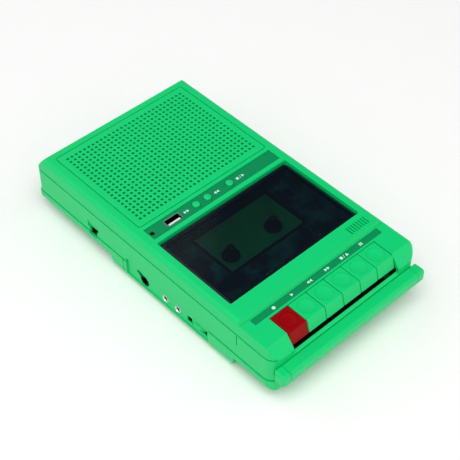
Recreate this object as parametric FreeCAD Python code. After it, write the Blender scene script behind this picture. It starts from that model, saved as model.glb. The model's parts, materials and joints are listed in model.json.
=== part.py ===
import FreeCAD, Part
import math
import os

# A flat "shoebox" cassette player and recorder with a USB socket.
# Millimetres. X runs from the jack side (-X) to the pause key (+X), Y from the
# keys (-Y) to the speaker (+Y), Z up. The origin is under the middle of the
# overall box, on the table.

V = FreeCAD.Vector
AXIS_X = V(1, 0, 0)
AXIS_Z = V(0, 0, 1)

# ---------------------------------------------------------------- the case
case_width = 144.0
case_length = 257.0
deck_height = 52.0        # top of the deck above the table
wall = 2.2
corner_radius = 9.0       # upright front corners, seen from above
rear_radius = 4.5         # upright rear corners
edge_radius = 4.0         # along the deck's two long edges
side_draft = 0.7          # how far the sides lean in from groove to deck
slope_run = 8.0           # the sloping front and rear faces, measured along Y
shoulder_drop = 12.0      # deck to the upper groove
parting_drop = 34.0       # deck to the line where the two shells meet
end_drop = 43.5           # deck to the underside of the two raised ends
lip_out = 0.5             # the lower shell stands this proud of the upper one
bottom_radius = 6.0
groove_width = 1.4
groove_depth = 1.4
parting_groove = 1.0      # height of the shadow line between the shells
plateau_depth = 28.0      # flat area that carries the keys
plateau_drop = 2.0
v_groove = 1.6            # depth of the V between deck and plateau
foot_height = 1.5
foot_radius = 3.5
screw_inset = 14.5        # case screws, in from the sides and the ends
screw_radius = 1.1
screw_head = 2.8
post_radius = 3.2
belly_front = 38.0        # front face to the belly's front end
belly_length = 131.0
belly_slope = 2.2

# ------------------------------------------------- what lies along the deck
deck_margin = 14.0        # deck front edge to the lid pocket
pocket_width = 127.0
pocket_depth = 75.8
strip_gap = 3.9           # pocket to control strip, and strip to grille
strip_depth = 12.4
strip_width = 124.6
strip_sink = 0.8
rear_margin = 6.0         # grille to the deck's rear edge
grille_width = 124.8
grille_raise = 0.6
grille_pitch = 4.02
grille_hole = 2.3
grille_border = 4.3
grille_gap = 0.8          # shadow line round the grille
fit = 0.15                # drop-in fits between fixed pieces
run = 0.3                 # air beside a piece that moves

# ---------------------------------------------------------------- the lid
lid_drop = 1.8
lid_thickness = 3.0
lid_gap = 0.6
lid_bevel = 2.2
barrel_radius = 2.0       # rounded rear edge that holds the hinge bore
hinge_pin_radius = 1.0
pin_fit = 0.06
rim_depth = 6.7
ledge = 2.0

# ---------------------------------------------------------------- the keys
key_count = 6
key_pitch = 17.25
key_gap = 0.5
key_length = 18.3         # along Y, at the top
key_front_drop = 10.4
key_front_run = 2.9       # the front face leans out by this much
key_skin = 2.0
key_dent = 0.5
key_dent_radius = 6.4
key_shaft_radius = 1.5
key_shaft_fit = 0.05
key_hub_radius = 3.2
key_web = 4.0
key_axis_back = 23.5      # plateau front edge to the key shaft
key_axis_drop = 13.0      # deck to the key shaft
label_depth = 5.6
label_gap = 2.0           # keys to the label strip
label_width = 125.4

# --------------------------------------------------------------- the handle
grip_depth = 9.7
grip_height = 11.0
grip_drop = 18.6          # deck to the top of the grip
grip_radius = 2.6
grip_skin = 2.4
grip_inset = 0.7          # the handle's ends stand this far inside the sides
arm_block = 7.2           # width of the end blocks beside the grip
arm_width = 4.0
arm_height = 6.0
arm_reach = 58.0          # arm length inside the case
guide_length = 22.0
guide_wall = 1.2

# --------------------------------------------------- cassette and its drive
spindle_spacing = 42.5    # standard compact cassette
spindle_y = 6.5           # in front of or behind the pocket's middle
tape_edge = 34.5          # spindles to the cassette's open edge
capstan_x = 33.4
capstan_y = 8.3           # behind the cassette's open edge
capstan_radius = 1.0
well_drop = 19.0
well_skin = 1.5
rest_x = 44.0             # the four pegs a cassette lies on
rest_y = 22.0
chassis_drop = 22.8
chassis_thickness = 1.2
chassis_side = 6.5        # pocket's side to the chassis edge
pivot_margin = 6.0        # plate past the pinch arm's pivot
post_back = 8.0           # front posts, behind the cassette's open edge
head_plate_thickness = 1.2
head_plate_left = -27.0
head_plate_right = 20.0
head_width = 12.4         # record and play head
head_depth = 8.0
head_back = 1.5           # heads' faces stand this far in front of the tape edge
erase_x = -19.0
erase_width = 7.0
erase_depth = 6.0
head_air = 0.4
head_travel = 4.0
pinch_radius = 6.0
pinch_height = 7.0
pinch_arm_reach = 14.0
pinch_gap = 2.2           # roller to capstan in the stop position
flywheel_radius = 20.0
flywheel_thickness = 5.0
flywheel_drop = 42.5
motor_radius = 15.0
motor_height = 20.0
motor_x = -30.0
motor_y = -22.0           # from the pocket's middle
motor_pulley_radius = 4.0
reel_radius = 13.0
hub_radius = 3.1          # what turns the cassette's reels
hub_height = 8.2
hub_reach = 4.2           # tips of the hub's fins
turntable_radius = 7.0    # plate at the hub's foot, under the cassette
reel_pulley_radius = 8.0
take_pulley_radius = 5.0
belt_width = 1.4
belt_air = 0.12

# ------------------------------------------------------- sockets and power
usb_width = 13.9
usb_depth = 6.9
usb_length = 17.0
usb_x = -39.4
usb_skin = 0.45
button_radius = 2.9
button_travel = 0.8
button_rise = 1.1
button_places = (-17.2, -6.1, 15.8)
led_x = -59.1
led_radius = 1.5
jack_drop = 40.3
dc_hole = 4.8
dc_y = 45.0               # from the pocket's middle
dc_notch = 8.6            # finger notch behind the power inlet's hole
line_in_y = 22.1
line_out_y = 8.7
jack_ring = 3.2
jack_bore = 1.8
jack_axis = 5.2           # socket's axis above its board
jack_length = 11.0
switch_height = 3.0
control_board_drop = 10.0
wheel_y = -12.0
wheel_radius = 12.0
wheel_thickness = 5.0
wheel_proud = 0.9
wheel_gap = 2.4           # open slot past each end of the wheel's face
panel_rear = 64.0         # jack panel, from the pocket's middle
panel_front = -24.6
panel_sink = 1.2
panel_line = 3.2          # upright groove behind the panel
panel_rise = 4.2          # how far the panel's tongue goes above the parting
eye_y = 102.0             # strap eye, from the pocket's middle
eye_length = 8.4
eye_height = 6.4
eye_depth = 3.8
eye_slope = 1.8           # depth and height of the slope above the eye
eye_rise = 8.0
mic_x = 53.3
mic_slots = 8
mic_pitch = 2.45
mic_length = 7.2
mic_slot = 1.1            # slot width
mic_depth = 1.6           # depth of the slots that don't go through
mic_radius = 3.4
mic_height = 6.0
speaker_radius = 38.5
speaker_depth = 22.0
magnet_radius = 22.5
magnet_height = 7.0
cell_diameter = 26.4      # room for a C cell
cell_pair_length = 104.0
bay_x = 4.0
bay_back = 1.5            # belly's rear end to the bay
bay_skin = 1.6
door_thickness = 1.8
door_lap = 1.5            # door past the bay on each side
door_grip = 14.0          # half the length of the ribs for a thumb
board_thickness = 1.6

# ------------------------------------------------------------ worked places
half = case_width / 2
y_front = grip_depth - (case_length + grip_depth) / 2
y_rear = y_front + case_length
y_plateau = y_front + slope_run
y_deck = y_plateau + plateau_depth
y_pocket0 = y_deck + deck_margin
y_pocket1 = y_pocket0 + pocket_depth
y_mid = (y_pocket0 + y_pocket1) / 2
y_strip0 = y_pocket1 + strip_gap
y_strip1 = y_strip0 + strip_depth
y_grille0 = y_strip1 + strip_gap
y_grille1 = y_rear - slope_run - rear_margin
y_speaker = (y_grille0 + y_grille1) / 2
y_belly0 = y_front + belly_front
y_belly1 = y_belly0 + belly_length
z_deck = deck_height
z_plateau = z_deck - plateau_drop
z_shoulder = z_deck - shoulder_drop
z_part = z_deck - parting_drop
z_end = z_deck - end_drop
z_belly = foot_height
z_lid = z_deck - lid_drop
z_rim = z_deck - rim_depth
z_well = z_deck - well_drop
z_chassis = z_deck - chassis_drop
z_jack = z_deck - jack_drop
x_key0 = -key_count * key_pitch / 2
y_key_axis = y_plateau + key_axis_back
z_key_axis = z_deck - key_axis_drop
y_key0 = y_plateau - 1.7
y_key1 = y_key0 + key_length
y_hinge = y_pocket1 - lid_gap - barrel_radius
z_hinge = z_lid - barrel_radius
arm_x = half - wall - guide_wall - run - arm_width / 2
z_grip = z_deck - grip_drop - grip_height / 2
y_spindle = y_mid + spindle_y
y_tape = y_spindle - tape_edge
y_capstan = y_tape + capstan_y
y_motor = y_mid + motor_y
x_panel = panel_sink - half


# ------------------------------------------------------------ small helpers
def box(x0, x1, y0, y1, z0, z1):
    """A block between two corners."""
    return Part.makeBox(x1 - x0, y1 - y0, z1 - z0, V(x0, y0, z0))


def rod(radius, x, y, z, length, axis=AXIS_Z):
    """A cylinder that starts at a point and runs along an axis."""
    return Part.makeCylinder(radius, length, V(x, y, z), axis)


def tube(outer, inner, x, y, z, length, axis=AXIS_Z):
    """A cylinder with a bore through it."""
    return rod(outer, x, y, z, length, axis).cut(rod(inner, x, y, z, length, axis))


def slab_x(points, x0, x1):
    """A (y, z) outline carried from x0 to x1."""
    loop = [V(x0, y, z) for y, z in points]
    face = Part.Face(Part.makePolygon(loop + loop[:1]))
    return face.extrude(V(x1 - x0, 0, 0))


def slab_y(points, y0, y1):
    """An (x, z) outline carried from y0 to y1."""
    loop = [V(x, y0, z) for x, z in points]
    face = Part.Face(Part.makePolygon(loop + loop[:1]))
    return face.extrude(V(0, y1 - y0, 0))


def plan(x0, x1, y0, y1, z0, z1, radius, rear=None):
    """A block with rounded upright edges; the rear pair can have a radius of its own."""
    block = box(x0, x1, y0, y1, z0, z1)
    for y, size in ((y0, radius), (y1, rear or radius)):
        upright = [e for e in block.Edges if abs(e.Vertexes[0].Y - y) < 1e-6
                   and e.tangentAt(e.FirstParameter).cross(AXIS_Z).Length < 0.01]
        block = block.makeFillet(size, upright)
    return block


def fuse(pieces):
    """One solid from pieces that touch."""
    pieces = list(pieces)
    return pieces[0].multiFuse(pieces[1:]).removeSplitter()


def cut(body, tools):
    """A body less a list of tools."""
    return body.cut(Part.makeCompound(list(tools)))


def arc_points(cx, cz, radius, start, stop, count=8):
    """Points along an arc, angles in degrees."""
    steps = [start + (stop - start) * i / count for i in range(count + 1)]
    return [(cx + radius * math.cos(math.radians(a)),
             cz + radius * math.sin(math.radians(a))) for a in steps]


def save(name, shape):
    """Write one sub-part."""
    if not shape.isValid():
        print("not valid:", name)
    shape.exportStep(os.path.join("parts", name + ".step"))
    print(name, len(shape.Solids), round(shape.Volume / 1000.0, 2), "cm3")


# ------------------------------------------------------------- the shells
def upper_block(inset, low, high):
    """The upper shell's outer shape, drawn in by inset on every side."""
    side = half - inset
    lean = side - side_draft
    crown = edge_radius - min(inset, edge_radius - 1)
    roof = z_deck - inset
    right = arc_points(lean - crown, roof - crown, crown, 0, 90)
    left = arc_points(crown - lean, roof - crown, crown, 90, 180)
    across = slab_y([(-side, low), (side, low), (side, z_shoulder)] + right + left
                    + [(-side, z_shoulder)], y_front - 1, y_rear + 1)
    shelf = z_plateau - inset
    along = slab_x([(y_front + inset, low), (y_front + inset, z_shoulder - inset / 2),
                    (y_plateau + inset, shelf), (y_deck - v_groove + inset, shelf),
                    (y_deck + inset, roof), (y_rear - slope_run - inset, roof),
                    (y_rear - inset, z_shoulder - inset / 2), (y_rear - inset, low)],
                   -half - 1, half + 1)
    frame = plan(inset - half, half - inset, y_front + inset, y_rear - inset,
                 low, max(high, z_deck + 1), corner_radius - inset, rear_radius - inset)
    return frame.common(across).common(along)


def ring_cut(z0, z1, depth):
    """A groove that runs round the outside."""
    outside = box(-half - 5, half + 5, y_front - 5, y_rear + 5, z0, z1)
    inside = plan(depth - half, half - depth, y_front + depth, y_rear - depth,
                  z0, z1, corner_radius - depth, rear_radius - depth)
    return outside.cut(inside)


def key_opening(grow):
    """The space that the keys fill, in the plateau and the sloping front."""
    edge = key_count * key_pitch / 2 + grow
    floor = z_deck - key_axis_drop - 3.2
    return slab_x([(y_front - 1, floor), (y_front + 1.5, floor), (y_front + 3.3, floor + 0.7),
                   (y_key1 + grow, floor + 0.7), (y_key1 + grow, z_deck + 1),
                   (y_front - 1, z_deck + 1)], -edge, edge)


def ledge_front():
    """The sloping strip in front of the key slot, between the cheeks."""
    edge = key_count * key_pitch / 2 + run
    low = z_deck - grip_drop + 1.5
    return slab_x([(y_front - 1, low), (y_front, low), (y_front + wall + 0.3, low + 1.9),
                   (y_front + wall + 0.3, z_deck), (y_front - 1, z_deck)], -edge, edge)


def lid_rim():
    """Wall and ledge round the lid pocket, hanging from the deck."""
    out = wall
    x1 = pocket_width / 2
    rim = box(-x1 - out, x1 + out, y_pocket0 - out, y_pocket1 + out, z_rim, z_deck - wall)
    well_x = x1 - ledge
    rim = rim.cut(box(-well_x, well_x, y_pocket0 + ledge, y_pocket1 - 1.2, z_rim - 1, z_deck))
    ledge_top = z_lid - lid_thickness - run
    rim = rim.cut(box(-x1, x1, y_pocket0, y_pocket1, ledge_top, z_deck))
    clear = 3 * barrel_radius
    return rim.cut(box(-x1, x1, y_pocket1 - clear, y_pocket1, z_rim - 1, z_deck))


def mic_cuts():
    """Short grooves over the microphone; three of them are open."""
    cuts = []
    y0 = y_deck + 2.4
    first = mic_x - (mic_slots - 1) * mic_pitch / 2
    for i in range(mic_slots):
        x = first + i * mic_pitch
        deep = wall + 1 if i in (0, 3, 4) else mic_depth
        cuts.append(box(x - mic_slot / 2, x + mic_slot / 2, y0, y0 + mic_length,
                        z_deck - deep, z_deck + 1))
    return cuts


def strap_eye(side):
    """The square pocket for a strap, astride the parting line, and the slope above it."""
    y = y_mid + eye_y
    top = z_part + eye_height * 0.7
    hole = box(-half - 2, eye_depth - half, y - eye_length / 2, y + eye_length / 2,
               top - eye_height, top)
    slope = slab_y([(-half - 1, top - 0.1), (eye_slope - half, top - 0.1),
                    (-half - 0.1, top + eye_rise), (-half - 1, top + eye_rise)],
                   y - eye_length / 2 - 2.0, y + eye_length / 2 + 2.0)
    eye = hole.fuse(slope)
    return eye if side < 0 else eye.mirror(V(0, 0, 0), AXIS_X)


def panel_box(grow, top):
    """The jack panel's place on the left side."""
    return box(-half - 2, wall + 1 - half, y_mid + panel_front - grow,
               y_mid + panel_rear + grow, z_belly - 1, top)


def screw_places():
    """The case screws, from the underside."""
    return [(sx * (half - screw_inset), y) for y in (y_front + screw_inset, y_rear - screw_inset)
            for sx in (-1, 1)]


def top_case():
    body = upper_block(0, z_part, z_deck).cut(upper_block(wall, z_part - 1, z_deck - wall))
    body = body.fuse(lid_rim())
    posts = []
    for x, y in screw_places():
        roof = z_plateau if y < y_deck else z_deck
        posts.append(rod(post_radius, x, y, z_part, roof - wall + 0.5 - z_part))
    body = body.multiFuse(posts)
    pocket = plan(-pocket_width / 2, pocket_width / 2, y_pocket0, y_pocket1,
                  z_lid - lid_thickness - run, z_deck + 1, 1.0)
    tools = [pocket, key_opening(run), ledge_front()]
    tools.append(box(ledge - pocket_width / 2, pocket_width / 2 - ledge, y_pocket0 + ledge,
                     y_pocket1 - 1.2, z_rim - 1, z_deck))
    tools.append(slab_x([(y_deck - v_groove, z_plateau), (y_deck, z_deck + 1),
                         (y_deck - 2 * v_groove, z_deck + 1), (y_deck - 2 * v_groove, z_plateau),
                         (y_deck - 1.5 * v_groove, z_plateau - 0.9)], -half - 1, half + 1))
    grip = box(-half, half, y_front - 1, y_front + 1.0, z_shoulder - 1, z_shoulder + 1)
    tools.append(ring_cut(z_shoulder - groove_width / 2, z_shoulder + groove_width / 2,
                          groove_depth).cut(grip))
    tools.append(ring_cut(z_part - 1, z_part + parting_groove, groove_depth))
    side_groove = box(-half - 1, groove_depth - half, y_deck - 1.4, y_deck - 0.6,
                      z_shoulder - 11.5, z_shoulder - 1.0)
    tools += [side_groove, side_groove.mirror(V(0, 0, 0), AXIS_X)]
    tools.append(box(-strip_width / 2, strip_width / 2, y_strip0, y_strip1,
                     z_deck - 2 * strip_sink, z_deck + 1))
    tools.append(box(-label_width / 2, label_width / 2, y_key1 + label_gap,
                     y_key1 + label_gap + label_depth, z_plateau - 0.8, z_deck))
    tools += mic_cuts()
    tools += strip_holes(0.2, z_deck - wall - 2)
    edge = 7.0
    tools.append(box(edge - grille_width / 2, grille_width / 2 - edge, y_grille0 + edge,
                     y_grille1 - edge, z_deck - wall - 1, z_deck + 1))
    tools.append(plan(-grille_width / 2 - grille_gap, grille_width / 2 + grille_gap,
                      y_grille0 - grille_gap, y_grille1 + grille_gap,
                      z_deck - 1.0, z_deck + 1, 2.0))
    tools += [strap_eye(-1), strap_eye(1)]
    tools.append(panel_box(fit, z_part + panel_rise + fit))
    pin = pocket_width / 2 + wall
    tools.append(rod(hinge_pin_radius, -pin, y_hinge, z_hinge, 2 * pin, AXIS_X))
    tools += [rod(screw_radius, x, y, z_part - 1, 14) for x, y in screw_places()]
    tools.append(box(-4.4, 4.4, y_pocket0 - wall - 1, y_pocket0 + ledge + 1,
                     z_lid - lid_thickness - 0.4, z_lid - 1.5))
    tools += [arm_space(side * arm_x) for side in (-1, 1)]
    return cut(body, tools)


def arm_space(x):
    """The hole in the front face for one arm of the handle."""
    z = z_grip
    return box(x - arm_width / 2 - run, x + arm_width / 2 + run, y_front - 1,
               y_front + corner_radius,
               z - arm_height / 2 - run, z + arm_height / 2 + run)


def lower_profile(side, low, radius):
    """Half-round bottom edges between two upright sides, as (x, z) points."""
    right = arc_points(side - radius, low + radius, radius, -90, 0)
    left = arc_points(radius - side, low + radius, radius, 180, 270)
    return right + [(side, z_part), (-side, z_part)] + left


def lower_block(inset):
    """The lower shell's outer shape, with the belly, drawn in by inset."""
    side = half + lip_out - inset
    radius = bottom_radius - inset / 2
    ends = slab_y(lower_profile(side, z_end + inset, radius), y_front + inset, y_rear - inset)
    ends = ends.common(plan(-side, side, y_front - lip_out + inset, y_rear + lip_out - inset,
                            z_end, z_part, corner_radius - inset, rear_radius - inset))
    belly = slab_y(lower_profile(side - 0.3, z_belly + inset, radius),
                   y_belly0 + inset, y_belly1 - inset)
    trim = slab_x([(y_belly0 + inset, z_part), (y_belly0 + inset, z_end),
                   (y_belly0 + inset + belly_slope, z_belly + inset),
                   (y_belly1 - inset - belly_slope, z_belly + inset),
                   (y_belly1 - inset, z_end), (y_belly1 - inset, z_part)], -half - 1, half + 1)
    return ends.fuse(belly.common(trim))


def bay_box(grow, low):
    """The space for the four cells."""
    x0 = bay_x - cell_pair_length / 2 - grow
    y1 = y_belly1 - wall - bay_back + grow
    y0 = y_belly1 - wall - bay_back - 2 * cell_diameter - grow
    return box(x0, x0 + cell_pair_length + 2 * grow, y0, y1, low,
               z_belly + door_thickness + cell_diameter + grow)


def door_frame(grow, rear, z0, z1):
    """The battery door's outline; its rear edge ends rear mm past the belly's slope."""
    inner = bay_box(0, z_belly).BoundBox
    side = door_lap + grow
    return box(inner.XMin - side, inner.XMax + side, inner.YMin - side,
               y_belly1 - belly_slope + rear, z0, z1)


def foot_places():
    """Four feet under the belly."""
    x = half - 10.0
    return [(-x, y_belly0 + 11), (x, y_belly0 + 11), (-x, y_belly1 - 8), (x, y_belly1 - 8)]


def bottom_case():
    body = lower_block(0).cut(lower_block(wall))
    body = body.fuse(box(-half, wall - half, y_mid + panel_front, y_mid + panel_rear,
                         z_belly + bottom_radius, z_part + panel_rise))
    skin = bay_box(bay_skin, z_belly + 0.2).cut(bay_box(0, z_belly))
    posts = [rod(post_radius + 0.4, x, y, z_end + 0.5, z_part - z_end - 0.5)
             for x, y in screw_places()]
    body = body.multiFuse([skin] + posts)
    tools = [box(-half - 2, x_panel, y_mid + panel_front, y_mid + panel_rear,
                 z_belly + 4.0, z_part + panel_rise + 1)]
    tools.append(bay_box(0, z_belly - 1))
    tools.append(door_frame(fit, 5.0, z_belly - 1, z_belly + door_thickness))
    tools += [strap_eye(-1), strap_eye(1)]
    line = box(-half - 2, groove_depth / 2 - half, y_mid + panel_rear + panel_line,
               y_mid + panel_rear + panel_line + groove_width / 2, z_belly + 4.0, z_part)
    tools.append(line)
    tools.append(rod(dc_hole, -half - 2, y_mid + dc_y, z_jack, wall + 4, AXIS_X))
    notch = [(0, dc_hole - 0.4), (dc_hole - 0.4, 0.6), (dc_notch, dc_hole - 0.8),
             (dc_notch - 1.0, dc_hole + 1.8)]
    tools.append(slab_x([(y_mid + dc_y + y, z_jack + z) for y, z in notch],
                        -half - 2, wall - half))
    for y in (line_in_y, line_out_y):
        tools.append(rod(jack_ring + 0.1, -half - 2, y_mid + y, z_jack, wall + 4, AXIS_X))
    reach = math.sqrt(wheel_radius ** 2 - (wheel_radius - wheel_proud - wall) ** 2) + wheel_gap
    tools.append(box(-half - 2, x_panel + wall + 1, y_mid + wheel_y - reach,
                     y_mid + wheel_y + reach, z_jack - wheel_thickness / 2 - run,
                     z_jack + wheel_thickness / 2 + run))
    for x, y in screw_places():
        tools.append(rod(screw_radius + 0.5, x, y, z_end - 1, z_part - z_end + 2))
        tools.append(rod(screw_head + 0.2, x, y, z_end - 1, 3.2))
    tools += [rod(foot_radius + 0.1, x, y, z_belly - 1, 1.6) for x, y in foot_places()]
    return cut(body, tools)


# ----------------------------------------------------- grille and label strips
def speaker_grille():
    """A flat plate with a square field of round holes."""
    x1 = grille_width / 2
    outline = plan(-x1, x1, y_grille0, y_grille1, 0, 1, 1.6)
    wire = [f for f in outline.Faces if f.normalAt(0, 0).z > 0.9][0].OuterWire
    columns = int((grille_width - 2 * grille_border) / grille_pitch) + 1
    rows = int((y_grille1 - y_grille0 - 2 * grille_border) / grille_pitch) + 1
    x0 = -(columns - 1) * grille_pitch / 2
    y0 = y_speaker - (rows - 1) * grille_pitch / 2
    holes = []
    for i in range(columns):
        for j in range(rows):
            at = V(x0 + i * grille_pitch, y0 + j * grille_pitch, 1)
            holes.append(Part.Wire(Part.makeCircle(grille_hole / 2, at, AXIS_Z)))
    for hole in holes:
        hole.reverse()
    plate = Part.Face([wire] + holes).extrude(V(0, 0, 1.0 + grille_raise))
    plate.translate(V(0, 0, z_deck - 2.0))
    return plate


def strip_holes(grow, low):
    """Openings in the control strip: LED, USB socket and three buttons."""
    y = (y_strip0 + y_strip1) / 2
    cuts = [box(usb_x - usb_width / 2 - grow, usb_x + usb_width / 2 + grow,
                y - usb_depth / 2 - grow, y + usb_depth / 2 + grow, low, z_deck + 1)]
    cuts.append(rod(led_radius + 0.3 + grow, led_x, y, low, z_deck + 1 - low))
    for x in button_places:
        cuts.append(rod(button_radius + run + grow, x, y, low, z_deck + 1 - low))
    return cuts


def control_strip():
    plate = box(fit - strip_width / 2, strip_width / 2 - fit, y_strip0 + fit, y_strip1 - fit,
                z_deck - 2 * strip_sink, z_deck - strip_sink)
    return cut(plate, strip_holes(0, z_deck - wall - 2))


def key_label_strip():
    y0 = y_key1 + label_gap
    return box(fit - label_width / 2, label_width / 2 - fit, y0 + fit, y0 + label_depth - fit,
               z_plateau - 0.8, z_plateau - 0.1)


# ------------------------------------------------------------------- the lid
def cassette_lid():
    x1 = pocket_width / 2 - lid_gap
    y0 = y_pocket0 + lid_gap
    low = z_lid - lid_thickness
    panel = slab_x([(y0, low), (y0, z_lid - lid_bevel / 2), (y0 + lid_bevel, z_lid),
                    (y_hinge, z_lid), (y_hinge, low)], -x1, x1)
    trim = slab_y([(-x1, low), (-x1, z_lid - lid_bevel / 2), (lid_bevel - x1, z_lid),
                   (x1 - lid_bevel, z_lid), (x1, z_lid - lid_bevel / 2), (x1, low)],
                  y0 - 1, y_pocket1)
    body = panel.common(trim)
    body = fuse([body, rod(barrel_radius, lid_bevel - x1, y_hinge, z_hinge,
                           2 * (x1 - lid_bevel), AXIS_X)])
    under = plan(4 - x1, x1 - 4, y0 + 4, y_hinge - 4, low - 1, low + 1.0, 2.0)
    bore = rod(hinge_pin_radius + pin_fit, -x1 - 1, y_hinge, z_hinge, 2 * x1 + 2, AXIS_X)
    return cut(body, [under, bore])


def lid_hinge_pins():
    length = 6.0 + wall
    outer = pocket_width / 2 + wall
    left = rod(hinge_pin_radius, -outer, y_hinge, z_hinge, length, AXIS_X)
    return Part.makeCompound([left, left.mirror(V(0, 0, 0), AXIS_X)])


def lid_catch():
    tip = box(-4, 4, y_pocket0 - wall - 2, y_pocket0 + lid_gap - run, z_lid - lid_thickness,
              z_lid - 1.8)
    tail = box(-4, 4, y_pocket0 - wall - 5.2, y_pocket0 - wall - 2, z_rim - 4.5, z_lid - 1.8)
    return fuse([tip, tail])


# --------------------------------------------------------- cassette mechanism
def well_cuts():
    """Openings in the well's floor for spindles, capstan and heads."""
    cuts = []
    for side in (-1, 1):
        cuts.append(rod(5.2, side * spindle_spacing / 2, y_spindle, z_well - 5, 10))
    cuts.append(box(head_plate_left - 3, capstan_x + 10.6, y_pocket0 - 2, y_tape + 2.5,
                    z_well - 5, z_rim + 1))
    cuts.append(rod(2.2, capstan_x, y_capstan, z_well - 5, 10))
    return cuts


def cassette_well():
    x1 = pocket_width / 2 - ledge
    y0 = y_pocket0 + ledge
    y1 = y_pocket1 - 1.2
    tray = box(-x1, x1, y0, y1, z_well - well_skin, z_rim)
    tray = tray.cut(box(well_skin - x1, x1 - well_skin, y0 + well_skin, y1 - 1.0, z_well,
                        z_rim + 1))
    flange = box(-x1 - 3, x1 + 3, y0 - 3, y1 + 2.0, z_rim - well_skin, z_rim)
    flange = flange.cut(box(well_skin - x1, x1 - well_skin, y0 + well_skin, y1 - 1.0,
                            z_rim - 5, z_rim + 1))
    rests = [rod(2.0, sx * rest_x, y_spindle + sy * rest_y, z_well - 0.5, 2.5)
             for sx in (-1, 1) for sy in (-1, 1)]
    body = fuse([tray, flange] + rests)
    return cut(body, well_cuts())


def mechanism_chassis():
    """Steel plate under the well, with posts that hang it from the well."""
    low = z_chassis - chassis_thickness
    rear = y_spindle + reel_radius + 2.0
    edge = pocket_width / 2 - chassis_side
    reach = max(edge, capstan_x + pinch_arm_reach + pivot_margin)
    plate = box(-edge, reach, y_pocket0 - 4, rear, low, z_chassis)
    posts = [rod(2.5, x, y, z_chassis, z_well - well_skin - z_chassis)
             for x in (4 - edge, edge - 4) for y in (y_tape + post_back, rear - 4)]
    body = fuse([plate] + posts)
    cuts = [rod(3.0, side * spindle_spacing / 2, y_spindle, low - 1, 5) for side in (-1, 1)]
    cuts.append(rod(3.0, capstan_x, y_capstan, low - 1, 5))
    cuts.append(rod(4.0, motor_x, y_motor, low - 1, 5))
    cuts.append(rod(1.2, pinch_pivot()[0], pinch_pivot()[1], low - 1, 5))
    return cut(body, cuts)


def spindle(x, pulley_radius):
    """Reel spindle: finned hub, shaft and the disc under the chassis."""
    bottom = z_chassis - chassis_thickness - 4.0
    disc = rod(reel_radius, x, y_spindle, bottom, 1.0)
    drum = rod(pulley_radius, x, y_spindle, bottom + 1.0, 2.2)
    shaft = rod(2.0, x, y_spindle, bottom + 3.0, z_well - bottom)
    hub_low = z_well + 0.3
    hub = rod(hub_radius, x, y_spindle, hub_low, hub_height)
    dome = Part.makeSphere(hub_radius, V(x, y_spindle, hub_low + hub_height - 0.8))
    fins = []
    for i in range(3):
        fin = box(x - hub_reach, x + hub_reach, y_spindle - 0.5, y_spindle + 0.5, hub_low,
                  hub_low + hub_height - 1.4)
        fin.rotate(V(x, y_spindle, 0), AXIS_Z, 60 * i)
        fins.append(fin)
    seat = rod(turntable_radius, x, y_spindle, hub_low, 1.2)
    return fuse([disc, drum, shaft, hub, dome, seat] + fins)


def supply_spindle():
    return spindle(-spindle_spacing / 2, take_pulley_radius)


def takeup_spindle():
    return spindle(spindle_spacing / 2, reel_pulley_radius)


def capstan():
    top = z_well + 9.0
    low = z_deck - flywheel_drop - flywheel_thickness
    return rod(capstan_radius, capstan_x, y_capstan, low, top - low)


def capstan_bush():
    low = z_chassis - chassis_thickness
    bore = capstan_radius + 0.04
    upper = tube(3.0, bore, capstan_x, y_capstan, low, chassis_thickness)
    collar = tube(4.0, bore, capstan_x, y_capstan, low - 0.4, 0.4)
    return fuse([upper, collar])


def flywheel():
    high = z_deck - flywheel_drop
    disc = rod(flywheel_radius, capstan_x, y_capstan, high - flywheel_thickness,
               flywheel_thickness)
    belt_z = high - flywheel_thickness + 1.2
    disc = disc.cut(tube(flywheel_radius + 1, flywheel_radius - 0.8, capstan_x, y_capstan,
                         belt_z - 0.9, 1.8))
    disc = disc.cut(tube(flywheel_radius - 3.5, 8.0, capstan_x, y_capstan, high - 1.5, 2))
    top = takeup_belt_z() + 1.4
    stem = rod(3.5, capstan_x, y_capstan, high - 1, top - high + 1)
    pulley = rod(take_pulley_radius, capstan_x, y_capstan, top - 2.8, 2.8)
    body = fuse([disc, stem, pulley])
    return body.cut(rod(capstan_radius, capstan_x, y_capstan, 0, z_deck))


def takeup_belt_z():
    """Height of the belt that turns the take-up spindle."""
    return z_chassis - chassis_thickness - 4.0 + 2.1


def drive_belt_z():
    """Height of the belt from the motor to the flywheel."""
    return z_deck - flywheel_drop - flywheel_thickness + 1.2


def belt(xa, ya, ra, xb, yb, rb, z):
    """A flat open belt round two pulleys."""
    height = belt_width

    def loop(grow):
        a = rod(ra + grow, xa, ya, z - height / 2, height)
        b = rod(rb + grow, xb, yb, z - height / 2, height)
        gap = math.hypot(xb - xa, yb - ya)
        turn = math.atan2(yb - ya, xb - xa)
        lean = math.acos((ra - rb) / gap)
        corners = []
        for px, py, radius, angle in ((xa, ya, ra, turn + lean), (xb, yb, rb, turn + lean),
                                      (xb, yb, rb, turn - lean), (xa, ya, ra, turn - lean)):
            reach = radius + grow
            corners.append(V(px + reach * math.cos(angle), py + reach * math.sin(angle),
                             z - height / 2))
        face = Part.Face(Part.makePolygon(corners + corners[:1]))
        return fuse([a, face.extrude(V(0, 0, height)), b])

    return loop(belt_air + 0.9).cut(loop(belt_air))


def takeup_belt():
    return belt(capstan_x, y_capstan, take_pulley_radius, spindle_spacing / 2, y_spindle,
                reel_pulley_radius, takeup_belt_z())


def drive_belt():
    return belt(motor_x, y_motor, motor_pulley_radius, capstan_x, y_capstan,
                flywheel_radius - 0.8, drive_belt_z())


def motor_bottom():
    return z_chassis - chassis_thickness - motor_height


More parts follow.
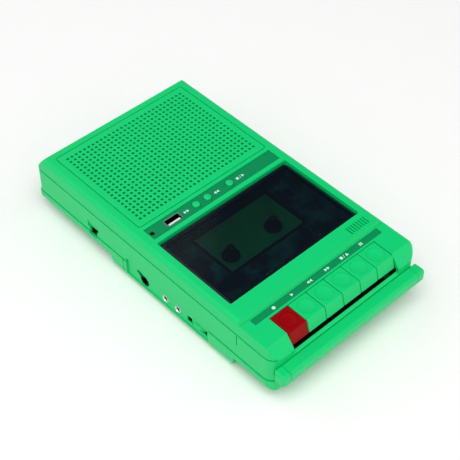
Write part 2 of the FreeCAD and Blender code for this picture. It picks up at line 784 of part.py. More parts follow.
def motor():
    low = motor_bottom()
    can = rod(motor_radius, motor_x, y_motor, low, motor_height)
    edges = [e for e in can.Edges if abs(e.BoundBox.ZMax - low) < 0.01 and e.BoundBox.XLength > 1]
    can = can.makeFillet(1.2, edges[:1])
    boss = rod(3.5, motor_x, y_motor, low - 0.6, 1.0)
    body = fuse([can, boss])
    return body.cut(rod(1.05, motor_x, y_motor, low - 2, 6))


def motor_pulley():
    low = drive_belt_z() - 1.3
    high = motor_bottom() - 0.8
    drum = rod(motor_pulley_radius, motor_x, y_motor, low, high - low)
    rim = rod(motor_pulley_radius + 1.0, motor_x, y_motor, low, 0.5)
    shaft = rod(1.0, motor_x, y_motor, high - 0.5, 4.0)
    return fuse([drum, rim, shaft])


def head_base():
    return z_chassis + head_air


def head_plate():
    low = head_base()
    plate = box(head_plate_left, head_plate_right, y_pocket0 - 4, y_tape - 2.5, low,
                low + head_plate_thickness)
    slots = [box(x - 1.0, x + 1.0, y_pocket0 - 2.5, y_pocket0 - 0.5 + head_travel, low - 1, low + 3)
             for x in (head_plate_left + 3, head_plate_right - 10)]
    return cut(plate, slots)


def record_play_head():
    low = head_base() + head_plate_thickness
    y1 = y_tape - head_back
    block = box(-head_width / 2, head_width / 2, y1 - head_depth, y1, low, z_rim - 0.6)
    nose = [e for e in block.Edges
            if abs(e.CenterOfMass.y - y1) < 0.01 and e.tangentAt(0).cross(AXIS_Z).Length < 0.01]
    return block.makeFillet(2.4, nose)


def erase_head():
    low = head_base() + head_plate_thickness
    y1 = y_tape - head_back
    side = erase_width / 2
    body = box(erase_x - side, erase_x + side, y1 - erase_depth, y1, low, z_rim - 1.6)
    return body.cut(box(erase_x - side + 2, erase_x + side - 2, y1 - 1.0, y1 + 1,
                        z_rim - 8, z_rim - 5))


def pinch_pivot():
    """Where the pinch roller's arm turns."""
    return capstan_x + pinch_arm_reach, y_tape - 6.5


def pinch_centre():
    """The roller's own axis, clear of the capstan in the stop position."""
    return capstan_x, y_capstan - capstan_radius - pinch_radius - pinch_gap


def pinch_arm():
    px, py = pinch_pivot()
    cx, cy = pinch_centre()
    low = head_base() + 0.2
    turn = math.atan2(cy - py, cx - px)
    reach = math.hypot(cx - px, cy - py)
    link = box(0, reach, -2.5, 2.5, 0, 1.4)
    link.rotate(V(0, 0, 0), AXIS_Z, math.degrees(turn))
    link.translate(V(px, py, low))
    pivot = rod(3.2, px, py, low, 1.4)
    end = rod(3.2, cx, cy, low, 1.4)
    pin = rod(1.0, cx, cy, low, z_rim - 1.4 - low)
    peg = rod(1.15, px, py, z_chassis - chassis_thickness, low - z_chassis + chassis_thickness + 1)
    return fuse([link, pivot, end, pin, peg])


def pinch_roller():
    cx, cy = pinch_centre()
    low = z_rim - 2.6 - pinch_height
    return tube(pinch_radius, 1.05, cx, cy, low, pinch_height)


# ------------------------------------------------------------------- the keys
def key(index):
    """One piano key: a hollow cap, a web down its middle and a hub."""
    x0 = x_key0 + index * key_pitch + key_gap / 2
    x1 = x0 + key_pitch - key_gap
    top = z_plateau
    drop = z_plateau - key_front_drop
    outer = slab_x([(y_key1, top), (y_key1, top - 4.5), (y_key0 + 4.5, drop),
                    (y_key0 - key_front_run, drop), (y_key0, top - 0.3)], x0, x1)
    inner = slab_x([(y_key1 + 1, top - key_skin), (y_key1 + 1, drop - 1),
                    (y_key0 + 1.6 - key_front_run, drop - 1), (y_key0 + 1.9, top - key_skin)],
                   x0 + 1.3, x1 - 1.3)
    dent = rod(key_dent_radius, (x0 + x1) / 2, (y_key0 + y_key1) / 2, top - key_dent, 2)
    cap = cut(outer, [inner, dent])
    mid = (x0 + x1) / 2
    web = slab_x([(y_key_axis, z_key_axis + 2.4), (y_key1 - 2, top - key_skin + 0.2),
                  (y_key0 + 2.2, top - key_skin + 0.2), (y_key0 + 1.0, top - 7),
                  (y_key_axis, z_key_axis - 2.4)], mid - key_web / 2, mid + key_web / 2)
    hub = rod(key_hub_radius, mid - key_web, y_key_axis, z_key_axis, 2 * key_web, AXIS_X)
    body = fuse([cap, web, hub])
    bore = rod(key_shaft_radius + key_shaft_fit, x0 - 1, y_key_axis, z_key_axis,
               key_pitch + 2, AXIS_X)
    return body.cut(bore)


def key_shaft():
    length = key_count * key_pitch + 4.0
    return rod(key_shaft_radius, -length / 2, y_key_axis, z_key_axis, length, AXIS_X)


def key_springs():
    """The coils that lift the keys, one beside each hub."""
    coils = []
    for i in range(key_count):
        x = x_key0 + (i + 0.5) * key_pitch + key_web + 0.5
        turns = [tube(key_shaft_radius + 1.0, key_shaft_radius + 0.3, x + 0.8 * k, y_key_axis,
                      z_key_axis, 0.8, AXIS_X) for k in range(4)]
        coils.append(fuse(turns))
    return Part.makeCompound(coils)


def key_frame():
    """Bent steel bracket that carries the key shaft, screwed to the chassis."""
    edge = key_count * key_pitch / 2 + 1.0
    floor = z_chassis - chassis_thickness
    y0 = y_key_axis - 4.0
    y1 = y_pocket0 - 4.0
    plate = box(-edge - 1.2, edge + 1.2, y0, y1, floor, floor + 1.2)
    lugs = [box(x, x + 1.2, y0, y_key_axis + 4.0, floor, z_key_axis + 3.5)
            for x in (-edge - 1.2, edge)]
    body = fuse([plate] + lugs)
    return body.cut(rod(key_shaft_radius, -edge - 3, y_key_axis, z_key_axis, 2 * edge + 6, AXIS_X))


# ----------------------------------------------------------------- the speaker
def speaker_frame():
    """Pressed steel basket, flange up against the grille's opening."""
    top = z_deck - wall
    cone = Part.makeCone(magnet_radius - 6, speaker_radius - 3, speaker_depth - 1.2,
                         V(0, y_speaker, top - speaker_depth))
    inner = Part.makeCone(magnet_radius - 7, speaker_radius - 4, speaker_depth - 1.2,
                          V(0, y_speaker, top - speaker_depth))
    flange = tube(speaker_radius, speaker_radius - 4, 0, y_speaker, top - 1.2, 1.2)
    base = tube(magnet_radius - 6, 7.0, 0, y_speaker, top - speaker_depth, 1.0)
    body = fuse([cone.cut(inner), flange, base])
    windows = []
    for i in range(4):
        window = box(-7, 7, y_speaker, y_speaker + speaker_radius, top - speaker_depth + 4,
                     top - 6)
        window.rotate(V(0, y_speaker, 0), AXIS_Z, 45 + 90 * i)
        windows.append(window)
    return cut(body, windows)


def speaker_cone():
    """Paper cone with its dust cap."""
    top = z_deck - wall - 2.0
    depth = speaker_depth - 9.0
    outer = Part.makeCone(9.0, speaker_radius - 6.0, depth, V(0, y_speaker, top - depth))
    inner = Part.makeCone(8.4, speaker_radius - 6.6, depth, V(0, y_speaker, top - depth))
    cap = Part.makeSphere(11.0, V(0, y_speaker, top - depth - 6.0))
    cap = cap.common(rod(9.0, 0, y_speaker, top - depth, 6))
    return fuse([outer.cut(inner), cap])


def speaker_magnet():
    top = z_deck - wall - speaker_depth
    ring = rod(magnet_radius, 0, y_speaker, top - magnet_height, magnet_height)
    pole = rod(6.6, 0, y_speaker, top - 1, 4.0)
    return fuse([ring, pole])


# ------------------------------------------------------------------ electronics
def board(x0, x1, y0, y1, low, parts):
    """A circuit board with blocks (x, y, width, depth, height) standing on it."""
    plate = box(x0, x1, y0, y1, low, low + board_thickness)
    blocks = [box(x - w / 2, x + w / 2, y - d / 2, y + d / 2, low + board_thickness - 0.2,
                  low + board_thickness + h) for x, y, w, d, h in parts]
    return fuse([plate] + blocks)


def main_board():
    low = z_end + wall + 2.0
    y0 = y_belly1 + 3.0
    y1 = y_rear - screw_inset - 6.0
    mid = (y0 + y1) / 2
    parts = [(-40, mid, 12, 8, 2.0), (-25, mid + 12, 9, 9, 2.4), (28, mid - 12, 18, 6, 2.0),
             (42, mid + 10, 8, 8, 2.4), (0, mid + 24, 14, 5, 2.2), (30, mid + 18, 6, 6, 2.4)]
    return board(-50, 50, y0, y1, low, parts)


def jack_board():
    low = z_jack - jack_axis - board_thickness
    return board(wall + 1.8 - half, wall + jack_length + 6 - half, y_mid + wheel_y - 10,
                 y_mid + dc_y + 9, low, [])


def jack_body(y, width, depth, height, ring, bore, nose):
    """A panel socket: moulded body, nose through the panel, and its bore."""
    x = x_panel + wall + 0.2
    low = z_jack - jack_axis
    body = box(x, x + depth, y_mid + y - width / 2, y_mid + y + width / 2, low, low + height)
    barrel = rod(ring, x - nose, y_mid + y, z_jack, nose + 1, AXIS_X)
    return fuse([body, barrel]).cut(rod(bore, x - nose - 1, y_mid + y, z_jack, depth, AXIS_X))


def dc_jack():
    body = jack_body(dc_y, 9.4, 13.0, 10.4, dc_hole - 0.3, 2.9, wall)
    x = x_panel + wall + 0.2
    return fuse([body, rod(1.0, x + 1.0, y_mid + dc_y, z_jack, 11.5, AXIS_X)])


def line_in_jack():
    return jack_body(line_in_y, 8.2, jack_length, 9.6, jack_ring, jack_bore, wall + 0.5)


def line_out_jack():
    return jack_body(line_out_y, 8.2, jack_length, 9.6, jack_ring, jack_bore, wall + 0.5)


def wheel_x():
    return x_panel - wheel_proud + wheel_radius


def volume_wheel():
    """Thumbwheel with a serrated rim."""
    x = wheel_x()
    y = y_mid + wheel_y
    low = z_jack - wheel_thickness / 2
    disc = rod(wheel_radius, x, y, low, wheel_thickness)
    notches = []
    for i in range(36):
        turn = math.radians(10 * i)
        notches.append(rod(0.5, x + (wheel_radius + 0.1) * math.cos(turn),
                           y + (wheel_radius + 0.1) * math.sin(turn), low - 1,
                           wheel_thickness + 2))
    stem = rod(2.0, x, y, low - 1.6, 2)
    return cut(fuse([disc, stem]), notches)


def volume_control():
    """Rotary potentiometer under the thumbwheel."""
    x = wheel_x()
    y = y_mid + wheel_y
    low = z_jack - jack_axis
    high = z_jack - wheel_thickness / 2 - 0.5
    body = rod(8.0, x, y, low, high - low)
    return body.cut(rod(2.06, x, y, high - 1.6, 4))


def control_board():
    low = z_deck - control_board_drop
    y = (y_strip0 + y_strip1) / 2
    switches = [(x, y, 6.0, 6.0, switch_height) for x in button_places]
    body = board(led_x - 3, button_places[-1] + 8, y_strip0 - 1, y_strip1 + 1, low, switches)
    slot = box(usb_x - usb_width / 2 - 0.2, usb_x + usb_width / 2 + 0.2, y - usb_depth / 2 - 0.2,
               y + usb_depth / 2 + 0.2, low - 1, z_deck)
    return body.cut(slot)


def usb_socket():
    y = (y_strip0 + y_strip1) / 2
    x0 = usb_x - usb_width / 2
    y0 = y - usb_depth / 2
    top = z_deck - 0.3
    low = top - usb_length
    shell = box(x0, x0 + usb_width, y0, y0 + usb_depth, low, top)
    room = box(x0 + usb_skin, x0 + usb_width - usb_skin, y0 + usb_skin,
               y0 + usb_depth - usb_skin, low + 3.0, top + 1)
    tongue = box(x0 + 1.4, x0 + usb_width - 1.4, y + 0.4, y + 2.2, low + 2.5, top - 1.5)
    return fuse([shell.cut(room), tongue])


def button(index):
    """Round domed push button with a collar that keeps it in."""
    x = button_places[index]
    y = (y_strip0 + y_strip1) / 2
    switch_top = z_deck - control_board_drop + board_thickness + switch_height
    low = switch_top + button_travel + 0.1
    top = z_deck + button_rise
    stem = rod(button_radius, x, y, low, top - low - 0.8)
    dome = Part.makeSphere(6.0, V(x, y, top - 6.0)).common(rod(button_radius, x, y, top - 1.2, 2))
    collar = rod(button_radius + 1.0, x, y, low, 0.9)
    return fuse([stem, dome, collar])


def power_led():
    y = (y_strip0 + y_strip1) / 2
    low = z_deck - control_board_drop + board_thickness
    high = z_deck - strip_sink - 0.6
    body = rod(led_radius, led_x, y, low, high - low)
    return fuse([body, Part.makeSphere(led_radius, V(led_x, y, high))])


def microphone():
    """Electret capsule glued under its slots."""
    y = y_deck + 2.4 + mic_length / 2
    return rod(mic_radius, mic_x, y, z_deck - wall - mic_height, mic_height)


# ------------------------------------------------------------------- the handle
def grip_edge():
    return half - grip_inset


def grip_section():
    """The grip's (y, z) outline: flat top and front, rounded front edges."""
    y0 = y_front - grip_depth
    y1 = y_front - 0.2
    high = z_deck - grip_drop
    low = high - grip_height
    top = arc_points(y0 + grip_radius, high - grip_radius, grip_radius, 180, 90)
    foot = arc_points(y0 + grip_radius, low + grip_radius, grip_radius, 270, 180)
    return foot + top + [(y1, high), (y1, low)]


def handle_grip():
    x1 = grip_edge() - arm_block - 0.2
    bar = slab_x(grip_section(), -x1, x1)
    hollow = box(3 - x1, x1 - 3, y_front - grip_depth + grip_skin, y_front + 1,
                 z_deck - grip_drop - grip_height + grip_skin, z_deck - grip_drop - grip_skin)
    return bar.cut(hollow)


def handle_arm(side):
    """End block beside the grip, with the flat arm that slides into the case."""
    outer = grip_edge()
    inner = outer - arm_block
    block = slab_x(grip_section(), inner, outer)
    y0 = y_front - grip_depth
    corner = [e for e in block.Edges
              if abs(e.CenterOfMass.x - outer) < 0.01 and abs(e.CenterOfMass.y - y0) < 0.01
              and e.Length > 2]
    block = block.makeFillet(3.0, corner)
    arm = box(arm_x - arm_width / 2, arm_x + arm_width / 2, y_front - 3, y_front + arm_reach,
              z_grip - arm_height / 2, z_grip + arm_height / 2)
    body = fuse([block, arm])
    return body if side > 0 else body.mirror(V(0, 0, 0), AXIS_X)


def handle_guides():
    """Channels inside the case that the arms slide in."""
    wide = arm_width / 2 + run
    tall = arm_height / 2 + run
    y0 = y_front + corner_radius
    outer = box(arm_x - wide - guide_wall, arm_x + wide + guide_wall, y0, y0 + guide_length,
                z_grip - tall - guide_wall, z_grip + tall + guide_wall)
    channel = outer.cut(box(arm_x - wide, arm_x + wide, y0 - 1, y0 + guide_length + 1,
                            z_grip - tall, z_grip + tall))
    return Part.makeCompound([channel, channel.mirror(V(0, 0, 0), AXIS_X)])


# ------------------------------------------------------- battery side and feet
def battery_door():
    panel = door_frame(0, 0, z_belly, z_belly + door_thickness)
    ribs = [box(bay_x - door_grip, bay_x + door_grip, panel.BoundBox.YMin + 3 + 2 * i,
                panel.BoundBox.YMin + 4 + 2 * i, z_belly - 1, z_belly + 0.4) for i in range(5)]
    return cut(panel, ribs)


def battery_contacts():
    """Two flat contacts and two springs at the ends of the bay."""
    inner = bay_box(0, z_belly).BoundBox
    radius = cell_diameter / 2
    z = z_belly + door_thickness + radius
    pieces = []
    for i in range(2):
        y = inner.YMin + radius + i * cell_diameter
        flat = box(inner.XMin, inner.XMin + 0.5, y - 8, y + 8, z - 8, z + 8)
        plate = box(inner.XMax - 0.5, inner.XMax, y - 8, y + 8, z - 8, z + 8)
        spring = Part.makeCone(5.5, 2.5, 3.5, V(inner.XMax - 0.5, y, z), V(-1, 0, 0))
        pieces += [flat, fuse([plate, spring])]
    return Part.makeCompound(pieces)


def rubber_feet():
    feet = []
    for x, y in foot_places():
        feet.append(rod(foot_radius, x, y, 0, foot_height + 0.6))
    return Part.makeCompound(feet)


def case_screws():
    screws = []
    low = z_end
    for x, y in screw_places():
        head = rod(screw_head, x, y, low + 0.4, 1.8)
        cross = [box(x - 1.6, x + 1.6, y - 0.35, y + 0.35, low, low + 1.2),
                 box(x - 0.35, x + 0.35, y - 1.6, y + 1.6, low, low + 1.2)]
        shank = rod(screw_radius, x, y, low + 2.0, z_part + 8 - low)
        screws.append(cut(fuse([head, shank]), cross))
    return Part.makeCompound(screws)


KEY_NAMES = ("record", "play", "rewind", "fast_forward", "stop_eject", "pause")
BUTTON_NAMES = ("next", "previous", "usb_play")

os.makedirs("parts", exist_ok=True)
for maker in (top_case, bottom_case, speaker_grille, control_strip, key_label_strip,
              cassette_lid, lid_hinge_pins, lid_catch, cassette_well, mechanism_chassis,
              supply_spindle, takeup_spindle, capstan, capstan_bush, flywheel, takeup_belt,
              drive_belt, motor, motor_pulley, head_plate, record_play_head, erase_head,
              pinch_arm, pinch_roller, key_shaft, key_springs, key_frame, speaker_frame,
              speaker_cone, speaker_magnet, main_board, jack_board, dc_jack, line_in_jack,
              line_out_jack, volume_wheel, volume_control, control_board, usb_socket,
              power_led, microphone, handle_grip, handle_guides, battery_door,
              battery_contacts, rubber_feet, case_screws):
    save(maker.__name__, maker())
for number, name in enumerate(KEY_NAMES):
    save("key_" + name, key(number))
for number, name in enumerate(BUTTON_NAMES):
    save("button_" + name, button(number))
save("handle_arm_left", handle_arm(-1))
save("handle_arm_right", handle_arm(1))
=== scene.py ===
# %% [markdown]
# # A flat cassette player with piano keys
#
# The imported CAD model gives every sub-part and the way it moves. This lesson gives each of them
# its looks. Some pieces are worked out afresh as surfaces, because a thumb dish or a serrated
# wheel reads better as one smooth formula. Others are copies of the CAD shape whose edges are
# softened, because moulded plastic never has a perfectly sharp edge.

# %% Load the frame
import json
import math

import bmesh
import bpy
import numpy as np
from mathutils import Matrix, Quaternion, Vector


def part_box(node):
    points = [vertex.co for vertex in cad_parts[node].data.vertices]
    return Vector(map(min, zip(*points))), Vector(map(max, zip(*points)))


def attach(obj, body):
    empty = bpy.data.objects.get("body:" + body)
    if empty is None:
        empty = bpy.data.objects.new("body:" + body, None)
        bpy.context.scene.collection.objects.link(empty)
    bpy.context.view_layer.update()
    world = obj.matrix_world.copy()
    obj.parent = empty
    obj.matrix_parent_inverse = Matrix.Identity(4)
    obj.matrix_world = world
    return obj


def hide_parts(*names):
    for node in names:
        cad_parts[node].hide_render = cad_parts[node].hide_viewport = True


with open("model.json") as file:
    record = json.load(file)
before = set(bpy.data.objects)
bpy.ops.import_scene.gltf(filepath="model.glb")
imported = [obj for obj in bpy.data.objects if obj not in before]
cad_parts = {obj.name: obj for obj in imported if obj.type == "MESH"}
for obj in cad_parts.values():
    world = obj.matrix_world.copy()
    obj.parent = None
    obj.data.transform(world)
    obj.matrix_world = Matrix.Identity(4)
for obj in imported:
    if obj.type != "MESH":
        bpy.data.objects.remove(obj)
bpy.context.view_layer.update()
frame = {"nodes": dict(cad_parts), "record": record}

MM = 0.001
nodes_of_frame = frame["nodes"]
behaviour = frame["record"]["behaviour"]
body_of_node = {node: body for body, nodes in behaviour["bodies"].items() for node in nodes}
slot_of_node = {part["node"]: part["material_slot"] for part in frame["record"]["subparts"]}

# %% [markdown]
# ## A recipe for every finish
#
# Moulded plastic is never one flat colour. Its pigment drifts a little over some centimetres,
# the spark-eroded mould leaves a grain of about a fifth of a millimetre, and handling polishes it
# unevenly. One recipe holds these three effects as noise read from Object coordinates, so that
# they stay put when a piece moves. Each finish below is this recipe with its own numbers.


# %% The recipe
def finish(name, colour, roughness, metallic=0.0, drift=0.08, grain=5200.0, depth=0.00002,
           spread=0.10, stretch=(1.0, 1.0, 1.0), specular=0.5, coat=0.0, coat_roughness=0.1):
    """A plastic or metal. Colour = base x (1 - drift .. 1 + drift) by broad noise; roughness =
    middle +- spread by fine noise; height = the same fine noise x depth metres."""
    material = bpy.data.materials.new(name)
    material.use_nodes = True
    tree = material.node_tree
    shader = tree.nodes["Principled BSDF"]
    shader.inputs["Metallic"].default_value = metallic
    shader.inputs["Specular IOR Level"].default_value = specular
    shader.inputs["Coat Weight"].default_value = coat
    shader.inputs["Coat Roughness"].default_value = coat_roughness
    place = tree.nodes.new("ShaderNodeTexCoord")
    turn = tree.nodes.new("ShaderNodeMapping")
    turn.inputs["Scale"].default_value = stretch
    tree.links.new(place.outputs["Object"], turn.inputs["Vector"])
    broad = noise(tree, turn, 38.0, 3.0)
    tint = tree.nodes.new("ShaderNodeMix")
    tint.data_type = "RGBA"
    tint.inputs["A"].default_value = (*[c * (1 - drift) for c in colour], 1)
    tint.inputs["B"].default_value = (*[min(1, c * (1 + drift)) for c in colour], 1)
    tree.links.new(broad.outputs["Fac"], tint.inputs["Factor"])
    tree.links.new(tint.outputs["Result"], shader.inputs["Base Color"])
    fine = noise(tree, turn, grain, 2.0)
    rough = tree.nodes.new("ShaderNodeMapRange")
    rough.inputs["To Min"].default_value = max(0.02, roughness - spread)
    rough.inputs["To Max"].default_value = min(1.0, roughness + spread)
    tree.links.new(fine.outputs["Fac"], rough.inputs["Value"])
    tree.links.new(rough.outputs["Result"], shader.inputs["Roughness"])
    bump = tree.nodes.new("ShaderNodeBump")
    bump.inputs["Distance"].default_value = depth
    bump.inputs["Strength"].default_value = 1.0
    tree.links.new(fine.outputs["Fac"], bump.inputs["Height"])
    tree.links.new(bump.outputs["Normal"], shader.inputs["Normal"])
    return material


def noise(tree, place, scale, detail):
    """A noise texture read at a Mapping node's place."""
    node = tree.nodes.new("ShaderNodeTexNoise")
    node.inputs["Scale"].default_value = scale
    node.inputs["Detail"].default_value = detail
    tree.links.new(place.outputs["Vector"], node.inputs["Vector"])
    return node


# %% The finishes of this player
GREEN = {"colour": (0.003, 0.60, 0.170), "roughness": 0.40, "drift": 0.035, "depth": 0.000006,
         "specular": 0.24}
green = finish("green_plastic", **GREEN)
strip_green = finish("strip_green", (0.001, 0.25, 0.085), 0.42, drift=0.05, specular=0.2)
red = finish("red_plastic", (0.29, 0.001, 0.003), 0.36, drift=0.06, depth=0.000004, specular=0.09)
black = finish("black_plastic", (0.008, 0.009, 0.010), 0.42, drift=0.3, specular=0.25)
# A near-black finish: the DC socket's own black body, and painted shade inside the USB socket.
socket_black_and_shade = finish("socket_black_and_shade", (0.003, 0.003, 0.003), 0.6, drift=0.2, specular=0.08)
steel = finish("plated_steel", (0.55, 0.55, 0.53), 0.32, 1.0, grain=900.0, stretch=(1, 14, 1),
               depth=0.000004)
chrome = finish("bright_plate", (0.78, 0.79, 0.80), 0.12, 1.0, drift=0.03, spread=0.06,
                depth=0.000002)
brass = finish("turned_brass", (0.72, 0.50, 0.20), 0.28, 1.0, grain=2600.0, depth=0.000003)
aluminium = finish("aluminium_can", (0.66, 0.67, 0.69), 0.36, 1.0, grain=1800.0,
                   stretch=(1, 1, 9), depth=0.000004)
rubber = finish("black_rubber", (0.016, 0.016, 0.017), 0.72, grain=3800.0, depth=0.00004)
board = finish("solder_mask", (0.012, 0.11, 0.045), 0.3, drift=0.25, grain=700.0, coat=0.5)
paper = finish("pressed_paper", (0.028, 0.027, 0.026), 0.88, drift=0.25, grain=2200.0,
               depth=0.00008)
ferrite = finish("sintered_ferrite", (0.035, 0.035, 0.037), 0.55, drift=0.35, grain=1500.0,
                 depth=0.00003)
lamp = finish("lamp_lens", (0.003, 0.002, 0.002), 0.25, drift=0.1, spread=0.05, specular=0.1)
pale = finish("pale_tongue", (0.78, 0.80, 0.82), 0.4, drift=0.03, depth=0.000004)
ink = finish("symbol_ink", (0.60, 0.90, 0.78), 0.5, drift=0.02, depth=0.000004)
finish_of_slot = {
    "green_plastic": green, "dark_green_print": strip_green, "red_plastic": red,
    "black_plastic": black, "steel": steel, "chrome": chrome, "brass": brass,
    "aluminium": aluminium, "rubber": rubber, "circuit_board": board, "paper": paper,
    "ferrite": ferrite, "led_plastic": lamp,
}
print("finishes:", len(finish_of_slot) + 1)


# %% [markdown]
# ## Smoked lid
#
# The lid is clear plastic with a dark dye. Light has to get in through it and out again, and a
# renderer finds that path only when the surface lets light straight through. So this finish is a
# smooth, dark gloss that is partly see-through: each face of the sheet stops part of the light,
# which gives the same smoky view of the deck below. Near its edges the eye looks through the
# turned-down rim, so there is far more dye in the way and the lid closes up to a blue black.


# %% Smoked plastic
def edge_mask(tree, place, box, width):
    """0 within width of the box's sides and 1 inside: the least of four distances to the sides,
    stretched to 0..1 over a fifth of the width."""
    axes = tree.nodes.new("ShaderNodeSeparateXYZ")
    tree.links.new(place.outputs["Object"], axes.inputs["Vector"])
    least = None
    for axis, low, high in (("X", box[0][0], box[1][0]), ("Y", box[0][1], box[1][1])):
        for edge, sign in ((low, 1.0), (high, -1.0)):
            away = tree.nodes.new("ShaderNodeMath")
            away.operation = "MULTIPLY_ADD"
            away.inputs[1].default_value = sign
            away.inputs[2].default_value = -sign * edge
            tree.links.new(axes.outputs[axis], away.inputs[0])
            if least is not None:
                smaller = tree.nodes.new("ShaderNodeMath")
                smaller.operation = "MINIMUM"
                tree.links.new(least.outputs[0], smaller.inputs[0])
                tree.links.new(away.outputs[0], smaller.inputs[1])
                away = smaller
            least = away
    step = tree.nodes.new("ShaderNodeMapRange")
    step.inputs["From Min"].default_value = width
    step.inputs["From Max"].default_value = width * 1.2
    tree.links.new(least.outputs[0], step.inputs["Value"])
    return step


def smoked_plastic(box):
    """Opacity = 0.42 .. 0.54 by broad noise, rising to 0.97 in a rim 2.6 mm wide."""
    material = bpy.data.materials.new("smoked_plastic")
    material.use_nodes = True
    tree = material.node_tree
    shader = tree.nodes["Principled BSDF"]
    shader.inputs["Base Color"].default_value = (0.004, 0.008, 0.014, 1.0)
    shader.inputs["Roughness"].default_value = 0.10
    shader.inputs["Specular IOR Level"].default_value = 0.3
    place = tree.nodes.new("ShaderNodeTexCoord")
    turn = tree.nodes.new("ShaderNodeMapping")
    tree.links.new(place.outputs["Object"], turn.inputs["Vector"])
    dye = tree.nodes.new("ShaderNodeMapRange")
    dye.inputs["To Min"].default_value = 0.42
    dye.inputs["To Max"].default_value = 0.54
    tree.links.new(noise(tree, turn, 14.0, 1.0).outputs["Fac"], dye.inputs["Value"])
    blend = tree.nodes.new("ShaderNodeMix")
    tree.links.new(edge_mask(tree, place, box, 2.6 * MM).outputs["Result"], blend.inputs["Factor"])
    blend.inputs["A"].default_value = 0.97
    tree.links.new(dye.outputs["Result"], blend.inputs["B"])
    tree.links.new(blend.outputs["Result"], shader.inputs["Alpha"])
    return material


smoked = smoked_plastic(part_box("cassette_lid"))
finish_of_slot["smoked_plastic"] = smoked


# %% [markdown]
# ## The well under the lid
#
# The well is moulded in the case's green. Round the tape path its colour is painted shade: a dark,
# mottled colour stands in for the shade of a lower floor there, and a darker band along the
# field's edge is a painted shadow of the step. A deep green field stays in the middle, under the
# spindles. Its edge is a place on the moulding, so it is read from Object coordinates.


# %% Well with painted shade
# Painted shade: dark tones for the well's outer floor, and a darker painted shadow along the step.
WELL_SHADE = (0.002, 0.012, 0.014)
WELL_SHADE_PALE = (0.006, 0.16, 0.14)
STEP_SHADOW = (0.001, 0.004, 0.004)


def parts_of(material):
    """A finish's tree, shader, Texture Coordinate and Mapping nodes, and its colour's socket."""
    tree = material.node_tree
    shader = tree.nodes["Principled BSDF"]
    place, turn = [next(node for node in tree.nodes if node.type == kind)
                   for kind in ("TEX_COORD", "MAPPING")]
    return tree, shader, place, turn, shader.inputs["Base Color"].links[0].from_socket


def mix_colour(tree, factor, first, second):
    """first x (1 - factor) + second x factor, where each is a colour or another node's socket."""
    mix = tree.nodes.new("ShaderNodeMix")
    mix.data_type = "RGBA"
    tree.links.new(factor, mix.inputs["Factor"])
    for key, value in (("A", first), ("B", second)):
        if isinstance(value, tuple):
            mix.inputs[key].default_value = (*value, 1.0)
        else:
            tree.links.new(value, mix.inputs[key])
    return mix.outputs["Result"]


def well_painted_shade(field):
    """Colour = painted shade outside the field, mottled between two dark tones, and a darker green
    inside it; a band between 0.5 mm and 3 mm within the field's edge is darkest, a painted shadow
    of the step."""
    material = finish("well_painted_shade", (0.002, 0.26, 0.075), 0.5, drift=0.35, depth=0.00001,
                      specular=0.2)
    tree, shader, place, turn, own_green = parts_of(material)
    sharp = tree.nodes.new("ShaderNodeMapRange")
    sharp.inputs["From Min"].default_value = 0.42
    sharp.inputs["From Max"].default_value = 0.62
    tree.links.new(noise(tree, turn, 55.0, 2.0).outputs["Fac"], sharp.inputs["Value"])
    shaded_colour = mix_colour(tree, sharp.outputs["Result"], WELL_SHADE, WELL_SHADE_PALE)
    for shadow_band, inside in ((0.5 * MM, STEP_SHADOW), (3.0 * MM, own_green)):
        shaded_colour = mix_colour(tree, edge_mask(tree, place, field, shadow_band).outputs["Result"], shaded_colour, inside)
    tree.links.new(shaded_colour, shader.inputs["Base Color"])
    return material


hub_low, hub_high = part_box("supply_spindle")
hub_y = (hub_low[1] + hub_high[1]) / 2
well_shade_finish = well_painted_shade(((-34 * MM, hub_y - 15 * MM), (44 * MM, hub_y + 32 * MM)))


# %% [markdown]
# ## Dark inside
#
# Seen through the key gap, the strap eyes and the outer holes of the grille, the inside of the case
# is nearly black, as it lies in shade. The inner faces there therefore get painted shade: a dull
# dark colour in place of that shadow. It begins a few millimetres behind the sides and above the
# outer floor, again by Object coordinates.


# %% Shell with painted shade
# Painted shade for the inner faces of the two shells.
INSIDE_SHADE = (0.001, 0.010, 0.005)


def shell_with_painted_shade(name, box, inset, low, high):
    """Green outside; painted shade, a dark colour in place of shadow, where x and y are more than
    inset within the box and z lies between low and high."""
    material = finish(name, **GREEN)
    tree, shader, place, _, own_green = parts_of(material)
    axes = tree.nodes.new("ShaderNodeSeparateXYZ")
    tree.links.new(place.outputs["Object"], axes.inputs["Vector"])
    share = edge_mask(tree, place, box, inset).outputs["Result"]
    for limit, operation in ((low, "GREATER_THAN"), (high, "LESS_THAN")):
        test = tree.nodes.new("ShaderNodeMath")
        test.operation = operation
        test.inputs[1].default_value = limit
        tree.links.new(axes.outputs["Z"], test.inputs[0])
        both = tree.nodes.new("ShaderNodeMath")
        both.operation = "MULTIPLY"
        tree.links.new(share, both.inputs[0])
        tree.links.new(test.outputs[0], both.inputs[1])
        share = both.outputs[0]
    shaded = mix_colour(tree, share, own_green, INSIDE_SHADE)
    tree.links.new(shaded, shader.inputs["Base Color"])
    return material


ledge_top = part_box("speaker_grille")[0][2]
grille_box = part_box("speaker_grille")
case_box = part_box("bottom_case")
floor_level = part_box("case_screws")[0][2] + 0.8 * MM
# Painted shade: on the ledge under the grille in the top case, and on the inner faces of the bottom case.
shell_shade = {
    "top_case": shell_with_painted_shade("top_case_painted_shade", grille_box, 1.5 * MM, 0.0, ledge_top + 0.05 * MM),
    "bottom_case": shell_with_painted_shade("bottom_case_painted_shade", case_box, 3.0 * MM, floor_level,
                                case_box[1][2] + 1.0 * MM),
}
print("coated shells:", len(shell_shade))


